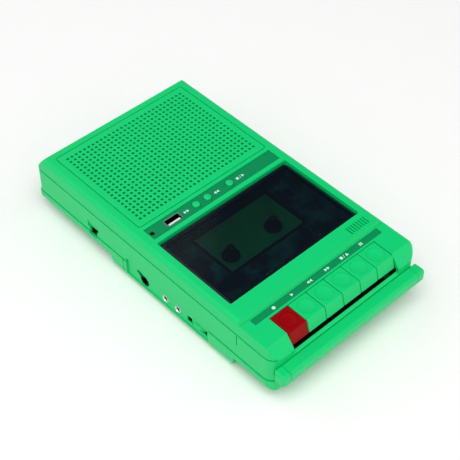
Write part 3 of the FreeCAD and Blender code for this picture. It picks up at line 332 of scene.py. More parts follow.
# %% [markdown]
# ## Putting a piece together
#
# A surface is a grid of points: rows are outlines, and each row is joined to the next by four-sided
# faces. numpy works the whole grid out at once. The helper below turns such points and faces into
# an object, gives it a finish, hangs it under an empty for the body it moves with and hides the CAD
# nodes it stands in for. A Weighted Normal modifier keeps broad flat faces looking flat beside
# small rounds.


# %% From points to a piece
def place_piece(name, mesh, material, body, replaced=()):
    """An object from a mesh, at the origin, riding on a body."""
    mesh.materials.clear()
    mesh.materials.append(material)
    mesh.set_sharp_from_angle(angle=math.radians(34))
    piece = bpy.data.objects.new(name, mesh)
    bpy.context.scene.collection.objects.link(piece)
    even = piece.modifiers.new("even_normals", "WEIGHTED_NORMAL")
    even.keep_sharp = True
    even.weight = 80
    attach(piece, body)
    if replaced:
        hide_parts(*replaced)
    return piece


def surface(name, shells, material, body, replaced=()):
    """A piece from a list of shells, each a pair (points, faces)."""
    points, faces, start = [], [], 0
    for shell_points, shell_faces in shells:
        points.append(np.asarray(shell_points, float))
        faces += [[index + start for index in face] for face in shell_faces]
        start += len(shell_points)
    mesh = bpy.data.meshes.new(name)
    mesh.from_pydata(np.concatenate(points), [], faces)
    mesh.validate()
    piece = place_piece(name, mesh, material, body, replaced)
    print(name, len(mesh.vertices), "points", len(mesh.polygons), "faces")
    return piece


def skin(loops, ends="flat"):
    """Joins stacked outlines (rows, around, 3). ends: flat closes the first and last outline
    with one face each, ring joins the last row to the first."""
    loops = np.asarray(loops, float)
    rows, around = loops.shape[:2]
    index = np.arange(rows * around).reshape(rows, around)
    if ends == "ring":
        index = np.concatenate([index, index[:1]])
    low, high = index[:-1], index[1:]
    quads = np.stack([low, np.roll(low, -1, 1), np.roll(high, -1, 1), high], -1).reshape(-1, 4)
    faces = quads.tolist()
    if ends == "flat":
        faces += [index[0][::-1].tolist(), index[-1].tolist()]
    return loops.reshape(-1, 3), faces


def outline(x0, x1, y0, y1, radius, side=1, corner=5):
    """A rounded rectangle, counter-clockwise from the +X side: four quarter circles of
    corner + 1 points, with side - 1 points along each straight run."""
    turn = np.linspace(0, np.pi / 2, corner + 1)
    middle = np.array([[x1 - radius, y1 - radius], [x0 + radius, y1 - radius],
                       [x0 + radius, y0 + radius], [x1 - radius, y0 + radius]])
    angle = turn[None] + np.arange(4)[:, None] * np.pi / 2
    arcs = middle[:, None] + radius * np.stack([np.cos(angle), np.sin(angle)], -1)
    step = np.linspace(0, 1, side + 1)[1:-1]
    runs = arcs[:, -1:, :] + (np.roll(arcs, -1, 0)[:, :1, :] - arcs[:, -1:, :]) * step[None, :, None]
    return np.concatenate([arcs, runs], 1).reshape(-1, 2)


def level(flat, z):
    """A flat (x, y) outline lifted to height z."""
    return np.column_stack([flat, np.full(len(flat), z)])


def upright(flat, x):
    """A flat (y, z) outline stood at x."""
    return np.column_stack([np.full(len(flat), x), flat])


def spun(profile, around=48, centre=(0, 0, 0), axis="z", ends="flat"):
    """A profile of (radius, height) points turned about an axis through centre."""
    profile = np.asarray(profile, float)
    angle = np.arange(around) * 2 * np.pi / around
    radius, height = profile[:, 0, None], profile[:, 1, None]
    flat = [radius * np.cos(angle), radius * np.sin(angle), height + 0 * angle]
    order = {"z": (0, 1, 2), "x": (2, 0, 1), "y": (1, 2, 0)}[axis]
    return skin(np.stack([flat[k] for k in order], -1) + np.asarray(centre, float), ends)


print("helpers ready")


# %% [markdown]
# ## Softened copies
#
# The two shells, the well and the steel parts already have their right shape in the frame. A CAD
# mesh is loose triangles, so a copy is joined and its flat areas are cleaned into single faces.
# Then a Bevel modifier rounds each edge by a fraction of a millimetre, as moulding and deburring
# do. That thin round catches the light and outlines the shape.


# %% Softening
def softened(node, width=0.25, material=None, segments=2, angle=34.0):
    """A copy of a CAD node with its triangles joined and its edges rounded by width mm."""
    source = nodes_of_frame[node]
    work = bmesh.new()
    work.from_mesh(source.data)
    work.transform(source.matrix_world)
    bmesh.ops.remove_doubles(work, verts=work.verts, dist=0.002 * MM)
    bmesh.ops.dissolve_limit(work, angle_limit=math.radians(0.4), verts=work.verts, edges=work.edges)
    mesh = bpy.data.meshes.new(node + "_soft")
    work.to_mesh(mesh)
    work.free()
    slot = slot_of_node[node]
    piece = place_piece(node + "_soft", mesh, material or finish_of_slot[slot],
                        body_of_node[node], (node,))
    if width:
        edge = piece.modifiers.new("soft_edges", "BEVEL")
        edge.width = width * MM
        edge.segments = segments
        edge.limit_method = "ANGLE"
        edge.angle_limit = math.radians(angle)
        edge.use_clamp_overlap = True
        edge.harden_normals = False
        piece.modifiers.move(1, 0)
    return piece


EDGE_ROUNDS = (
    ("top_case", 0.3), ("bottom_case", 0.3), ("control_strip", 0.12), ("key_label_strip", 0.1),
    ("cassette_lid", 0.3), ("battery_door", 0.25), ("lid_catch", 0.25),
    ("mechanism_chassis", 0.15), ("key_frame", 0.15), ("head_plate", 0.15), ("pinch_arm", 0.15),
    ("record_play_head", 0.2), ("erase_head", 0.2), ("motor", 0.2), ("handle_guides", 0.2),
    ("speaker_frame", 0.15), ("case_screws", 0.1), ("main_board", 0.1), ("control_board", 0.1),
    ("jack_board", 0.1),
)
# The well carries painted shade round its middle field.
softened("cassette_well", 0.3, well_shade_finish)
# The shells take their green with painted shade inside.
for node, width in EDGE_ROUNDS:
    softened(node, width, shell_shade.get(node))
print("softened copies made")

# %% [markdown]
# ## Piano keys
#
# Each key is a moulded cap on a lever. Its top carries a shallow round dish for the fingertip,
# and its front face leans out towards the user. A cube with a carved dish would show a hard rim,
# so the cap is one surface: outlines rise from the skirt, turn over the rounded top edge, and
# then change step by step from a rounded rectangle into circles that sink into the dish.


# %% Measures of the keys, from the frame
key_names = ["record", "play", "rewind", "fast_forward", "stop_eject", "pause"]
key_joint = {joint["name"]: joint for joint in behaviour["joints"]}
key_axis_y, key_axis_z = key_joint["key_play_press"]["pos_m"][1:]
KEY_FRONT_RUN = 2.9 * MM
KEY_DISH_RADIUS = 6.4 * MM
KEY_DISH_DEPTH = 0.8 * MM
KEY_RING_DEPTH = 0.35 * MM
KEY_ROUND = 0.55 * MM
KEY_LENGTH = 18.3 * MM


# %% One key
def key_cap(low, high):
    """Outlines as functions of height s in 0..1: the front edge leans in by (1 - s) x the run,
    the underside climbs to the rear; above that a quarter circle rounds the edge, and radius
    r < R of the dish lies depth x (1 - (r/R)^2) below the top."""
    x0, x1, y1, top = low[0], high[0], high[1], high[2]
    y0 = low[1] + KEY_FRONT_RUN
    bottom = low[2]

    def ring(s, inset, drop):
        flat = outline(x0 + inset, x1 - inset, y0 - KEY_FRONT_RUN * (1 - s) + inset, y1 - inset,
                       max(KEY_ROUND - inset, 0.08 * MM), side=9, corner=3)
        back = np.clip((flat[:, 1] - (y0 + 4.5 * MM)) / (y1 - y0 - 4.5 * MM), 0, 1)
        underside = bottom + back * (top - 4.5 * MM - bottom)
        z = underside + (top - underside) * s - drop
        return np.column_stack([flat, z])

    rows = [ring(0, 1.2 * MM, -1.0 * MM), ring(0, 1.2 * MM, 0), ring(0, 0.2 * MM, 0),
            ring(0.03, 0, 0)]
    rows += [ring(s, 0, 0) for s in (0.3, 0.6, 0.85)]
    turn = np.linspace(0, np.pi / 2, 6)
    rows += [ring(1 - 0.02 * (1 - math.sin(a)), KEY_ROUND * (1 - math.cos(a)),
                  KEY_ROUND * (1 - math.sin(a))) for a in turn]
    edge = rows[-1]
    middle = np.array([(x0 + x1) / 2, (y0 + y1) / 2])
    arm = edge[:, :2] - middle
    angle = np.arctan2(arm[:, 1], arm[:, 0])
    unit = np.column_stack([np.cos(angle), np.sin(angle)])
    lip = KEY_DISH_RADIUS + 0.5 * MM
    for share in (0.06, 0.5):
        mixed = edge[:, :2] + (middle + unit * lip - edge[:, :2]) * share
        rows.append(np.column_stack([mixed, edge[:, 2]]))
    for radius, drop in dish_profile(lip):
        rows.append(np.column_stack([middle + unit * radius, np.full(len(edge), top - drop)]))
    return skin(np.array(rows))


def dish_profile(lip):
    """Radius and depth from the lip inwards: a flat lip, a narrow ring groove round the dish and
    a bowl whose depth is DEPTH x (1 - (r/R)^2), never less than a tenth of a millimetre."""
    share = np.array([0.955, 0.9, 0.8, 0.6, 0.4, 0.2, 0.03])
    ring = [(lip, 0), (KEY_DISH_RADIUS + 0.22 * MM, 0.02 * MM),
            (KEY_DISH_RADIUS + 0.18 * MM, KEY_RING_DEPTH),
            (KEY_DISH_RADIUS - 0.18 * MM, KEY_RING_DEPTH)]
    return ring + [(KEY_DISH_RADIUS * s, max(KEY_DISH_DEPTH * (1 - s ** 2), 0.1 * MM)) for s in share]


def key_lever(low, high):
    """The hub round the shaft, and the web that joins it to the cap."""
    middle = (low[0] + high[0]) / 2
    half = 4.0 * MM
    hub = spun([(1.55 * MM, -half), (2.9 * MM, -half), (3.2 * MM, -half + 0.3 * MM),
                (3.2 * MM, half - 0.3 * MM), (2.9 * MM, half), (1.55 * MM, half)],
               32, (middle, key_axis_y, key_axis_z), "x", "ring")
    side = np.array([[key_axis_y + 1 * MM, key_axis_z - 2.4 * MM],
                     [key_axis_y + 2.2 * MM, key_axis_z + 2.2 * MM],
                     [high[1] - 1 * MM, high[2] - 4.5 * MM], [high[1] - 2 * MM, high[2] - 1.4 * MM],
                     [low[1] + 5 * MM, high[2] - 1.4 * MM],
                     [low[1] + 4 * MM, high[2] - 7 * MM]])
    web = np.array([np.column_stack([np.full(len(side), middle + x), side])
                    for x in (-2 * MM, 2 * MM)])
    return [hub, skin(web[:, ::-1])]


for name in key_names:
    node = "key_" + name
    low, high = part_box(node)
    low, high = np.array(low), np.array(high)
    high[1] = low[1] + KEY_FRONT_RUN + KEY_LENGTH
    high[2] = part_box("key_play")[1][2]
    cap_low = np.array([low[0], low[1], high[2] - 10.4 * MM])
    surface(node + "_cap", [key_cap(cap_low, high)] + key_lever(cap_low, high),
            finish_of_slot[slot_of_node[node]], body_of_node[node], (node,))

# %% [markdown]
# ## Speaker grille
#
# The speaker breathes through a square field of round holes in a thin raised plate. Seven hundred
# Boolean cuts would be slow and would leave poor faces. Instead one square cell with a hole in it
# is worked out once, as three outlines: the square, the chamfered rim and the wall of the hole.
# numpy then copies its points over the whole field, and a border closes the plate.


# %% One cell, copied over the field
GRILLE_PITCH = 4.02 * MM
GRILLE_HOLE = 1.15 * MM
GRILLE_BORDER = 4.3 * MM
GRILLE_ROUND = 0.7 * MM


def grille_field(centre, columns, rows, top, bottom):
    """Cells of a square outline (16 points), a chamfer and a hole wall."""
    angle = np.arange(16) * np.pi / 8
    ray = np.column_stack([np.cos(angle), np.sin(angle)])
    square = ray / np.abs(ray).max(1, keepdims=True) * GRILLE_PITCH / 2
    levels = [(square, top), (ray * (GRILLE_HOLE + 0.16 * MM), top),
              (ray * GRILLE_HOLE, top - 0.16 * MM), (ray * GRILLE_HOLE, bottom)]
    cell = np.array([np.column_stack([flat, np.full(16, z)]) for flat, z in levels])
    x = centre[0] + (np.arange(columns) - (columns - 1) / 2) * GRILLE_PITCH
    y = centre[1] + (np.arange(rows) - (rows - 1) / 2) * GRILLE_PITCH
    shift = np.stack(np.meshgrid(x, y, [0.0], indexing="ij"), -1).reshape(-1, 1, 1, 3)
    points = (cell[None] + shift).reshape(-1, 3)
    base = np.arange(columns * rows)[:, None, None] * cell.shape[0] * 16
    index = np.arange(cell.shape[0] * 16).reshape(1, cell.shape[0], 16) + base
    low, high = index[:, :-1], index[:, 1:]
    quads = np.stack([low, np.roll(low, -1, 2), np.roll(high, -1, 2), high], -1)
    return points, quads.reshape(-1, 4).tolist()


def grille_border(low, high, field_x, field_y):
    """A rim from the field's edge to the plate's edge, rounded over and down its side."""
    around = 12
    rows = [outline(-field_x, field_x, field_y[0], field_y[1], 0.02 * MM, around)]
    z = [high[2]]
    for inset, drop in [(GRILLE_ROUND, 0), (GRILLE_ROUND * 0.5, GRILLE_ROUND * 0.14),
                        (GRILLE_ROUND * 0.14, GRILLE_ROUND * 0.5), (0, GRILLE_ROUND),
                        (0, high[2] - low[2])]:
        rows.append(outline(low[0] + inset, high[0] - inset, low[1] + inset, high[1] - inset,
                            1.7 * MM - inset, around))
        z.append(high[2] - drop)
    loops = np.array([np.column_stack([row, np.full(len(row), h)]) for row, h in zip(rows, z)])
    points, faces = skin(loops[::-1], "open")
    return points, faces


low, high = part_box("speaker_grille")
columns = int(((high[0] - low[0]) - 2 * GRILLE_BORDER) / GRILLE_PITCH + 1e-6) + 1
rows = int(((high[1] - low[1]) - 2 * GRILLE_BORDER) / GRILLE_PITCH + 1e-6) + 1
centre = ((low[0] + high[0]) / 2, (low[1] + high[1]) / 2)
field_y = (centre[1] - rows * GRILLE_PITCH / 2, centre[1] + rows * GRILLE_PITCH / 2)
surface("grille_plate", [grille_field(centre, columns, rows, high[2], low[2]),
                         grille_border(low, high, columns * GRILLE_PITCH / 2, field_y)],
        green, body_of_node["speaker_grille"], ("speaker_grille",))
print("grille:", columns, "columns", rows, "rows")

# %% [markdown]
# ## Printed symbols
#
# The strips carry plain transport symbols in pale ink. Text is not needed: triangles, squares,
# bars and a disc say it all. Each symbol is a thin flat prism, a few hundredths of a millimetre
# high, laid on its strip. That is how pad printing sits on plastic.


# %% Symbols
def prism(flat, z0, z1):
    """A flat outline raised from z0 to z1."""
    flat = np.asarray(flat, float)
    return skin(np.array([np.column_stack([flat, np.full(len(flat), z)]) for z in (z0, z1)]))


def triangle(x, y, size, way):
    """Points right for way 1, left for way -1, to the rear for way 2."""
    shape = np.array([[0.5, 0.0], [-0.4, 0.5], [-0.4, -0.5]]) * size
    turn = {1: 0.0, -1: np.pi, 2: np.pi / 2}[way]
    spin = np.array([[math.cos(turn), math.sin(turn)], [-math.sin(turn), math.cos(turn)]])
    return shape @ spin + [x, y]


def bar(x, y, wide, tall, lean=0.0):
    """A square or an upright bar; lean shifts its top sideways."""
    return np.array([[x - wide / 2 - lean, y - tall / 2], [x + wide / 2 - lean, y - tall / 2],
                     [x + wide / 2 + lean, y + tall / 2], [x - wide / 2 + lean, y + tall / 2]])


def disc(x, y, radius):
    angle = np.arange(32) * np.pi / 16
    return np.column_stack([x + radius * np.cos(angle), y + radius * np.sin(angle)])


def double(x, y, way):
    """Two triangles that point the same way, one behind the other."""
    return [triangle(x + step, y, SYMBOL, way) for step in (-SYMBOL_STEP, SYMBOL_STEP)]


SYMBOL = 2.5 * MM
SYMBOL_STEP = 1.2 * MM
strip_low, strip_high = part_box("key_label_strip")
symbol_y = (strip_low[1] + strip_high[1]) / 2
middle_of_key = {name: (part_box("key_" + name)[0][0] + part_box("key_" + name)[1][0]) / 2
                 for name in key_names}
x = middle_of_key
flat_symbols = [disc(x["record"], symbol_y, 1.35 * MM),
                triangle(x["play"], symbol_y, SYMBOL, 1),
                *double(x["rewind"], symbol_y, -1),
                *double(x["fast_forward"], symbol_y, 1),
                bar(x["stop_eject"] - 2.6 * MM, symbol_y, 2.3 * MM, 2.3 * MM),
                bar(x["stop_eject"], symbol_y, 0.35 * MM, 2.9 * MM, 0.5 * MM),
                triangle(x["stop_eject"] + 2.7 * MM, symbol_y, 2.8 * MM, 2),
                bar(x["pause"] - 0.8 * MM, symbol_y, 0.95 * MM, 2.4 * MM),
                bar(x["pause"] + 0.8 * MM, symbol_y, 0.95 * MM, 2.4 * MM)]
INK = 0.04 * MM
surface("key_symbols", [prism(flat, strip_high[2] - INK, strip_high[2] + INK)
                        for flat in flat_symbols], ink, "case")

panel_low, panel_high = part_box("control_strip")
panel_y = (panel_low[1] + panel_high[1]) / 2
push = {name: (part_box("button_" + name)[0][0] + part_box("button_" + name)[1][0]) / 2
        for name in ("next", "previous", "usb_play")}
flat_symbols = [*double(push["next"] - 9.4 * MM, panel_y, 1),
                *double(push["previous"] + 9.0 * MM, panel_y, -1),
                bar(push["usb_play"] + 8.2 * MM, panel_y, 2.2 * MM, 2.2 * MM),
                bar(push["usb_play"] + 11.0 * MM, panel_y, 0.35 * MM, 2.8 * MM, 0.5 * MM),
                triangle(push["usb_play"] + 13.6 * MM, panel_y, 2.6 * MM, 1)]
surface("strip_symbols", [prism(flat, panel_high[2] - INK, panel_high[2] + INK)
                          for flat in flat_symbols], ink, "case")

# %% [markdown]
# ## Push buttons, lamp and feet
#
# These are turned shapes. A profile of radius against height, spun round its own axis, gives a
# smooth dome and a small round at the rim, and both ends close on the axis.


# %% Turned pieces on the control strip
def dome_profile(radius, low, top, crown, rim):
    """Straight wall, a rim round of radius rim, then a crown of the given height."""
    turn = np.linspace(0, np.pi / 2, 5)
    rounding = [(radius - rim * (1 - math.cos(a)), top - crown - rim * (1 - math.sin(a)))
                for a in turn]
    inner = radius - rim
    dome = [(inner * s, top - crown * s ** 2) for s in (0.85, 0.65, 0.45, 0.25, 0.05)]
    return [(radius, low)] + rounding + dome


for name in push:
    node = "button_" + name
    low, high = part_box(node)
    radius = 2.9 * MM
    profile = [(radius + 1 * MM, low[2]), (radius + 1 * MM, low[2] + 0.9 * MM)]
    profile += dome_profile(radius, low[2] + 0.9 * MM, high[2], 0.5 * MM, 0.35 * MM)
    surface(node + "_cap", [spun(profile, 48, (push[name], panel_y, 0))], green,
            body_of_node[node], (node,))

low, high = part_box("power_led")
lamp_radius = (high[0] - low[0]) / 2
surface("power_lamp", [spun([(lamp_radius, low[2]), (lamp_radius, high[2] - lamp_radius)]
                            + [(lamp_radius * math.cos(a), high[2] - lamp_radius * (1 - math.sin(a)))
                               for a in np.linspace(0.2, 1.5, 7)], 32,
                            ((low[0] + high[0]) / 2, panel_y, 0))],
        lamp, "case", ("power_led",))

low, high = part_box("rubber_feet")
foot_radius = 3.5 * MM
foot_x = high[0] - foot_radius
foot_places = [(sx * foot_x, y) for sx in (-1, 1) for y in (low[1] + foot_radius, high[1] - foot_radius)]
foot_profile = [(foot_radius * 0.1, 0.0), (foot_radius * 0.8, 0.0), (foot_radius * 0.95, 0.15 * MM),
                (foot_radius, 0.45 * MM), (foot_radius, high[2])]
surface("rubber_foot_set", [spun(foot_profile, 40, (fx, fy, 0)) for fx, fy in foot_places],
        rubber, "case", ("rubber_feet",))

# %% [markdown]
# ## Sockets and the volume wheel
#
# The USB socket is folded from bright sheet, with a tongue inside. The two audio sockets end in
# turned rings, with a bevel that leads the plug in. The wheel's rim is serrated so that a thumb
# can grip it, which is a radius that changes with the angle, so the wheel is one surface too.


# %% USB socket
low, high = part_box("usb_socket")
SHEET = 0.45 * MM
levels = [(0.0, low[2]), (0.0, high[2] - 0.25 * MM), (0.12 * MM, high[2]), (SHEET - 0.1 * MM, high[2]),
          (SHEET, high[2] - 0.15 * MM), (SHEET, low[2] + 3.0 * MM)]
loops = [level(outline(low[0] + inset, high[0] - inset, low[1] + inset, high[1] - inset,
                       max(0.9 * MM - inset, 0.3 * MM)), z) for inset, z in levels]
surface("usb_shell", [skin(np.array(loops))], chrome, "case", ("usb_socket",))
# Painted shade: a black sleeve just inside the shell stands in for the shadow in the socket's cavity.
levels = [(SHEET + 0.02 * MM, low[2] + 2.0 * MM), (SHEET + 0.02 * MM, high[2] - 0.4 * MM),
          (SHEET + 0.32 * MM, high[2] - 0.4 * MM), (SHEET + 0.32 * MM, low[2] + 3.0 * MM)]
loops = [level(outline(low[0] + inset, high[0] - inset, low[1] + inset, high[1] - inset, 0.2 * MM), z)
         for inset, z in levels]
surface("usb_shade_liner", [skin(np.array(loops))], socket_black_and_shade, "case")
tongue = [level(outline(low[0] + 1.5 * MM + i, high[0] - 1.5 * MM - i,
                        low[1] + 1.0 * MM + i, low[1] + 2.6 * MM - i, 0.2 * MM), z)
          for i, z in ((0, low[2] + 2.9 * MM), (0, high[2] - 0.75 * MM), (0.15 * MM, high[2] - 0.6 * MM))]
surface("usb_tongue", [skin(np.array(tongue))], pale, "case")

# %% Audio and power sockets
for node, ring, bore in (("line_in_jack", 3.1, 2.25), ("line_out_jack", 3.1, 2.25)):
    low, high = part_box(node)
    jack_y = (low[1] + high[1]) / 2
    jack_z = high[2] - 4.4 * MM
    face = low[0]
    ring_profile = [(bore * MM, 9.5 * MM), (bore * MM, 0.9 * MM), ((bore + 0.15) * MM, 0.7 * MM),
                    ((bore + 0.35) * MM, 0.2 * MM), ((bore + 0.45) * MM, 0.0),
                    ((ring - 0.25) * MM, 0.0), (ring * MM, 0.25 * MM), (ring * MM, 9.5 * MM)]
    surface(node + "_ring", [spun(ring_profile[::-1], 48, (face, jack_y, jack_z), "x", "ring")],
            chrome, "case", (node,))
    body_low = face + 2.9 * MM
    block = [upright(outline(low[1] + i, high[1] - i, low[2] + i, high[2] - i, 0.5 * MM), bx)
             for bx, i in ((body_low, 0.3 * MM), (body_low + 0.3 * MM, 0), (high[0] - 0.3 * MM, 0),
                           (high[0], 0.3 * MM))]
    surface(node + "_body", [skin(np.array(block))], black, "case")
softened("dc_jack", 0.15, socket_black_and_shade)

# %% Volume wheel
low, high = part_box("volume_wheel")
wheel_centre = ((low[0] + high[0]) / 2, (low[1] + high[1]) / 2, 0)
wheel_radius = (high[0] - low[0]) / 2
wheel_low = low[2] + 1.6 * MM
TEETH = 36


def serrated(profile, teeth, depth, around):
    """radius(angle) = profile radius - depth x |sin(teeth x angle / 2)|^0.6, on rim rows only."""
    angle = np.arange(around) * 2 * np.pi / around
    wave = depth * np.abs(np.sin(teeth * angle / 2)) ** 0.6
    rows = []
    for radius, z, share in profile:
        r = radius - share * (depth - wave)
        rows.append(np.column_stack([r * np.cos(angle), r * np.sin(angle), np.full(around, z)]))
    return np.array(rows)


rim = [(wheel_radius * 0.5, wheel_low, 0), (wheel_radius - 0.9 * MM, wheel_low, 0),
       (wheel_radius - 0.4 * MM, wheel_low, 1), (wheel_radius, wheel_low + 0.4 * MM, 1),
       (wheel_radius, high[2] - 0.4 * MM, 1), (wheel_radius - 0.4 * MM, high[2], 1),
       (wheel_radius - 0.9 * MM, high[2], 0), (wheel_radius * 0.8, high[2] - 0.5 * MM, 0),
       (wheel_radius * 0.3, high[2] - 0.5 * MM, 0), (wheel_radius * 0.25, high[2], 0)]
stem = spun([(2.0 * MM, low[2]), (2.0 * MM, wheel_low + 0.2 * MM)], 24, wheel_centre)
surface("thumb_wheel", [skin(serrated(rim, TEETH, 0.5 * MM, 432) + np.array(wheel_centre)), stem],
        green, "volume_knob", ("volume_wheel",))

# %% [markdown]
# ## Carrying handle
#
# The handle lies across the front and slides out on two flat arms. Its bar is an extrusion with
# soft front edges and slightly rounded ends. A cross-section carried along X draws it, and near
# the ends the section shrinks by the round's own curve.


# %% The bar and its two arms
def section(y0, y1, z0, z1, front, rear, inset):
    """A (y, z) outline drawn in by inset, with one radius at its front corners and another at
    its rear corners."""
    turn = np.linspace(0, np.pi / 2, 7)
    rows = []
    for quarter, (y_way, z_way, radius) in enumerate(((1, 1, rear), (-1, 1, front),
                                                      (-1, -1, front), (1, -1, rear))):
        r = max(radius - inset, 0.05 * MM)
        y = (y1 if y_way > 0 else y0) - y_way * (inset + r)
        z = (z1 if z_way > 0 else z0) - z_way * (inset + r)
        angle = turn + quarter * np.pi / 2
        rows.append(np.column_stack([y + r * np.cos(angle), z + r * np.sin(angle)]))
    return np.concatenate(rows)


def bar_along_x(x0, x1, low, high, front, rear, left_round, right_round):
    """Sections from x0 to x1; within a round's length of an end, at angle a, the section stands
    round x (1 - cos a) in from the end and is drawn in by round x (1 - sin a)."""
    turn = np.linspace(0, np.pi / 2, 6)
    stations = [(x0 + left_round * (1 - math.cos(a)), left_round * (1 - math.sin(a))) for a in turn]
    stations += [(x1 - right_round * (1 - math.cos(a)), right_round * (1 - math.sin(a)))
                 for a in turn[::-1]]
    return skin(np.array([upright(section(low[1], high[1], low[2], high[2], front, rear, inset), x)
                          for x, inset in stations]))


GRIP_FRONT = 2.6 * MM
GRIP_REAR = 0.5 * MM
SEAM_ROUND = 0.35 * MM
END_ROUND = 2.4 * MM
ARM_BLOCK = 7.2 * MM
ARM_HALF = (2.0 * MM, 3.0 * MM)
grip_low, grip_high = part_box("handle_grip")
surface("handle_bar", [bar_along_x(grip_low[0], grip_high[0], grip_low, grip_high, GRIP_FRONT,
                                   GRIP_REAR, SEAM_ROUND, SEAM_ROUND)],
        green, "handle", ("handle_grip",))
guide_low, guide_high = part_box("handle_guides")
arm_centre_x = guide_high[0] - 1.2 * MM - 0.3 * MM - ARM_HALF[0]
arm_centre_z = (guide_low[2] + guide_high[2]) / 2
for side, node in ((-1, "handle_arm_left"), (1, "handle_arm_right")):
    low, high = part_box(node)
    outer = low[0] if side < 0 else high[0]
    inner = outer - side * ARM_BLOCK
    ends = [(outer, END_ROUND), (inner, SEAM_ROUND)][::-side]
    block = bar_along_x(ends[0][0], ends[1][0], grip_low, grip_high, GRIP_FRONT, GRIP_REAR,
                        ends[0][1], ends[1][1])
    rows = []
    for y, inset in ((grip_high[1] - 2 * MM, 0), (high[1] - 0.6 * MM, 0), (high[1], 0.6 * MM)):
        flat = outline(side * arm_centre_x - ARM_HALF[0] + inset,
                       side * arm_centre_x + ARM_HALF[0] - inset,
                       arm_centre_z - ARM_HALF[1] + inset, arm_centre_z + ARM_HALF[1] - inset,
                       0.7 * MM)
        rows.append(np.column_stack([flat[:, 0], np.full(len(flat), y), flat[:, 1]]))
    surface(node + "_slide", [block, skin(np.array(rows)[:, ::-1])], green, "handle",
            (node,))

# %% [markdown]
# ## Reels, pinch roller and speaker cone
#
# Under the lid two spindles carry a finned hub with a rounded tip, so that a cassette drops over
# them easily. The fins are a radius that swings between two values as the angle goes round, and
# they die away towards the tip. The pinch roller and the speaker cone below are plain turned shapes.


# %% Spindles
def finned_hub(x, y, low, height, core, reach):
    """radius(angle, height) = core + (reach - core) x |cos 3 angle|^6 x fade(height); the tip
    is an ellipse."""
    around = 144
    angle = np.arange(around) * 2 * np.pi / around
    fin = np.abs(np.cos(3 * angle)) ** 6
    rows = []
    for share in (0.0, 0.3, 0.6, 0.78):
        radius = core + (reach - core) * fin * (1.0 if share < 0.7 else 0.55)
        rows.append((radius, low + height * share))
    for a in np.linspace(0.15, np.pi / 2 - 0.05, 7):
        rows.append((core * math.cos(a) + 0 * fin, low + height * (0.78 + 0.22 * math.sin(a))))
    return skin(np.array([np.column_stack([x + r * np.cos(angle), y + r * np.sin(angle),
                                           np.full(around, z)]) for r, z in rows]))


for node in ("supply_spindle", "takeup_spindle"):
    low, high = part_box(node)
    sx, sy = (low[0] + high[0]) / 2, (low[1] + high[1]) / 2
    disc_radius = (high[0] - low[0]) / 2
    drum = (5.0 if node == "supply_spindle" else 8.0) * MM
    z = low[2]
    hub_low = high[2] - 10.5 * MM
    turned = [(disc_radius - 0.3 * MM, z), (disc_radius, z + 0.2 * MM), (disc_radius, z + 0.8 * MM),
              (disc_radius - 0.3 * MM, z + 1.0 * MM), (drum, z + 1.0 * MM), (drum, z + 3.0 * MM),
              (drum - 0.2 * MM, z + 3.2 * MM), (2.0 * MM, z + 3.2 * MM), (2.0 * MM, hub_low)]
    seat = [(6.7 * MM, hub_low), (7.0 * MM, hub_low + 0.25 * MM), (7.0 * MM, hub_low + 0.9 * MM),
            (6.7 * MM, hub_low + 1.2 * MM)]
    surface(node + "_hub", [spun(turned, 64, (sx, sy, 0)), spun(seat, 48, (sx, sy, 0)),
                            finned_hub(sx, sy, hub_low + 0.6 * MM, 9.9 * MM, 3.1 * MM, 4.2 * MM)],
            black, body_of_node[node], (node,))

# %% Pinch roller and speaker cone
low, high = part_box("pinch_roller")
px, py = (low[0] + high[0]) / 2, (low[1] + high[1]) / 2
tyre = (high[0] - low[0]) / 2
surface("pinch_tyre", [spun([(1.05 * MM, low[2]), (tyre - 0.4 * MM, low[2]), (tyre, low[2] + 0.4 * MM),
                             (tyre, high[2] - 0.4 * MM), (tyre - 0.4 * MM, high[2]),
                             (1.05 * MM, high[2])], 64, (px, py, 0), "z", "ring")],
        rubber, "pinch_wheel", ("pinch_roller",))

low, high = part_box("speaker_cone")
cx, cy = (low[0] + high[0]) / 2, (low[1] + high[1]) / 2
cone_radius = (high[0] - low[0]) / 2
share = np.linspace(0, 1, 40)
radius = cone_radius * (1 - share) + 9.0 * MM * share
wave = np.where(share < 0.18, 0.5 * MM * np.sin(share / 0.18 * 3 * np.pi) ** 2, 0)
height = high[2] - wave - np.clip(share - 0.18, 0, 1) / 0.82 * (high[2] - low[2] - 2.0 * MM)
cap = [(9.0 * MM * math.cos(a), height[-1] + 2.6 * MM * math.sin(a)) for a in np.linspace(0.1, 1.5, 8)]
upper = list(zip(radius, height)) + cap
under = [(r, h - 0.5 * MM) for r, h in zip(radius, height)][::-1]
surface("speaker_paper", [spun(under + upper, 96, (cx, cy, 0))], paper, "case",
        ("speaker_cone",))

# %% [markdown]
# ## Coil springs
#
# Behind the keys a small torsion spring on the shaft lifts each key again. A spring is a round wire
# carried along a helix: the point on the axis moves steadily while the angle turns, and the
# wire's circle stands square to that path.


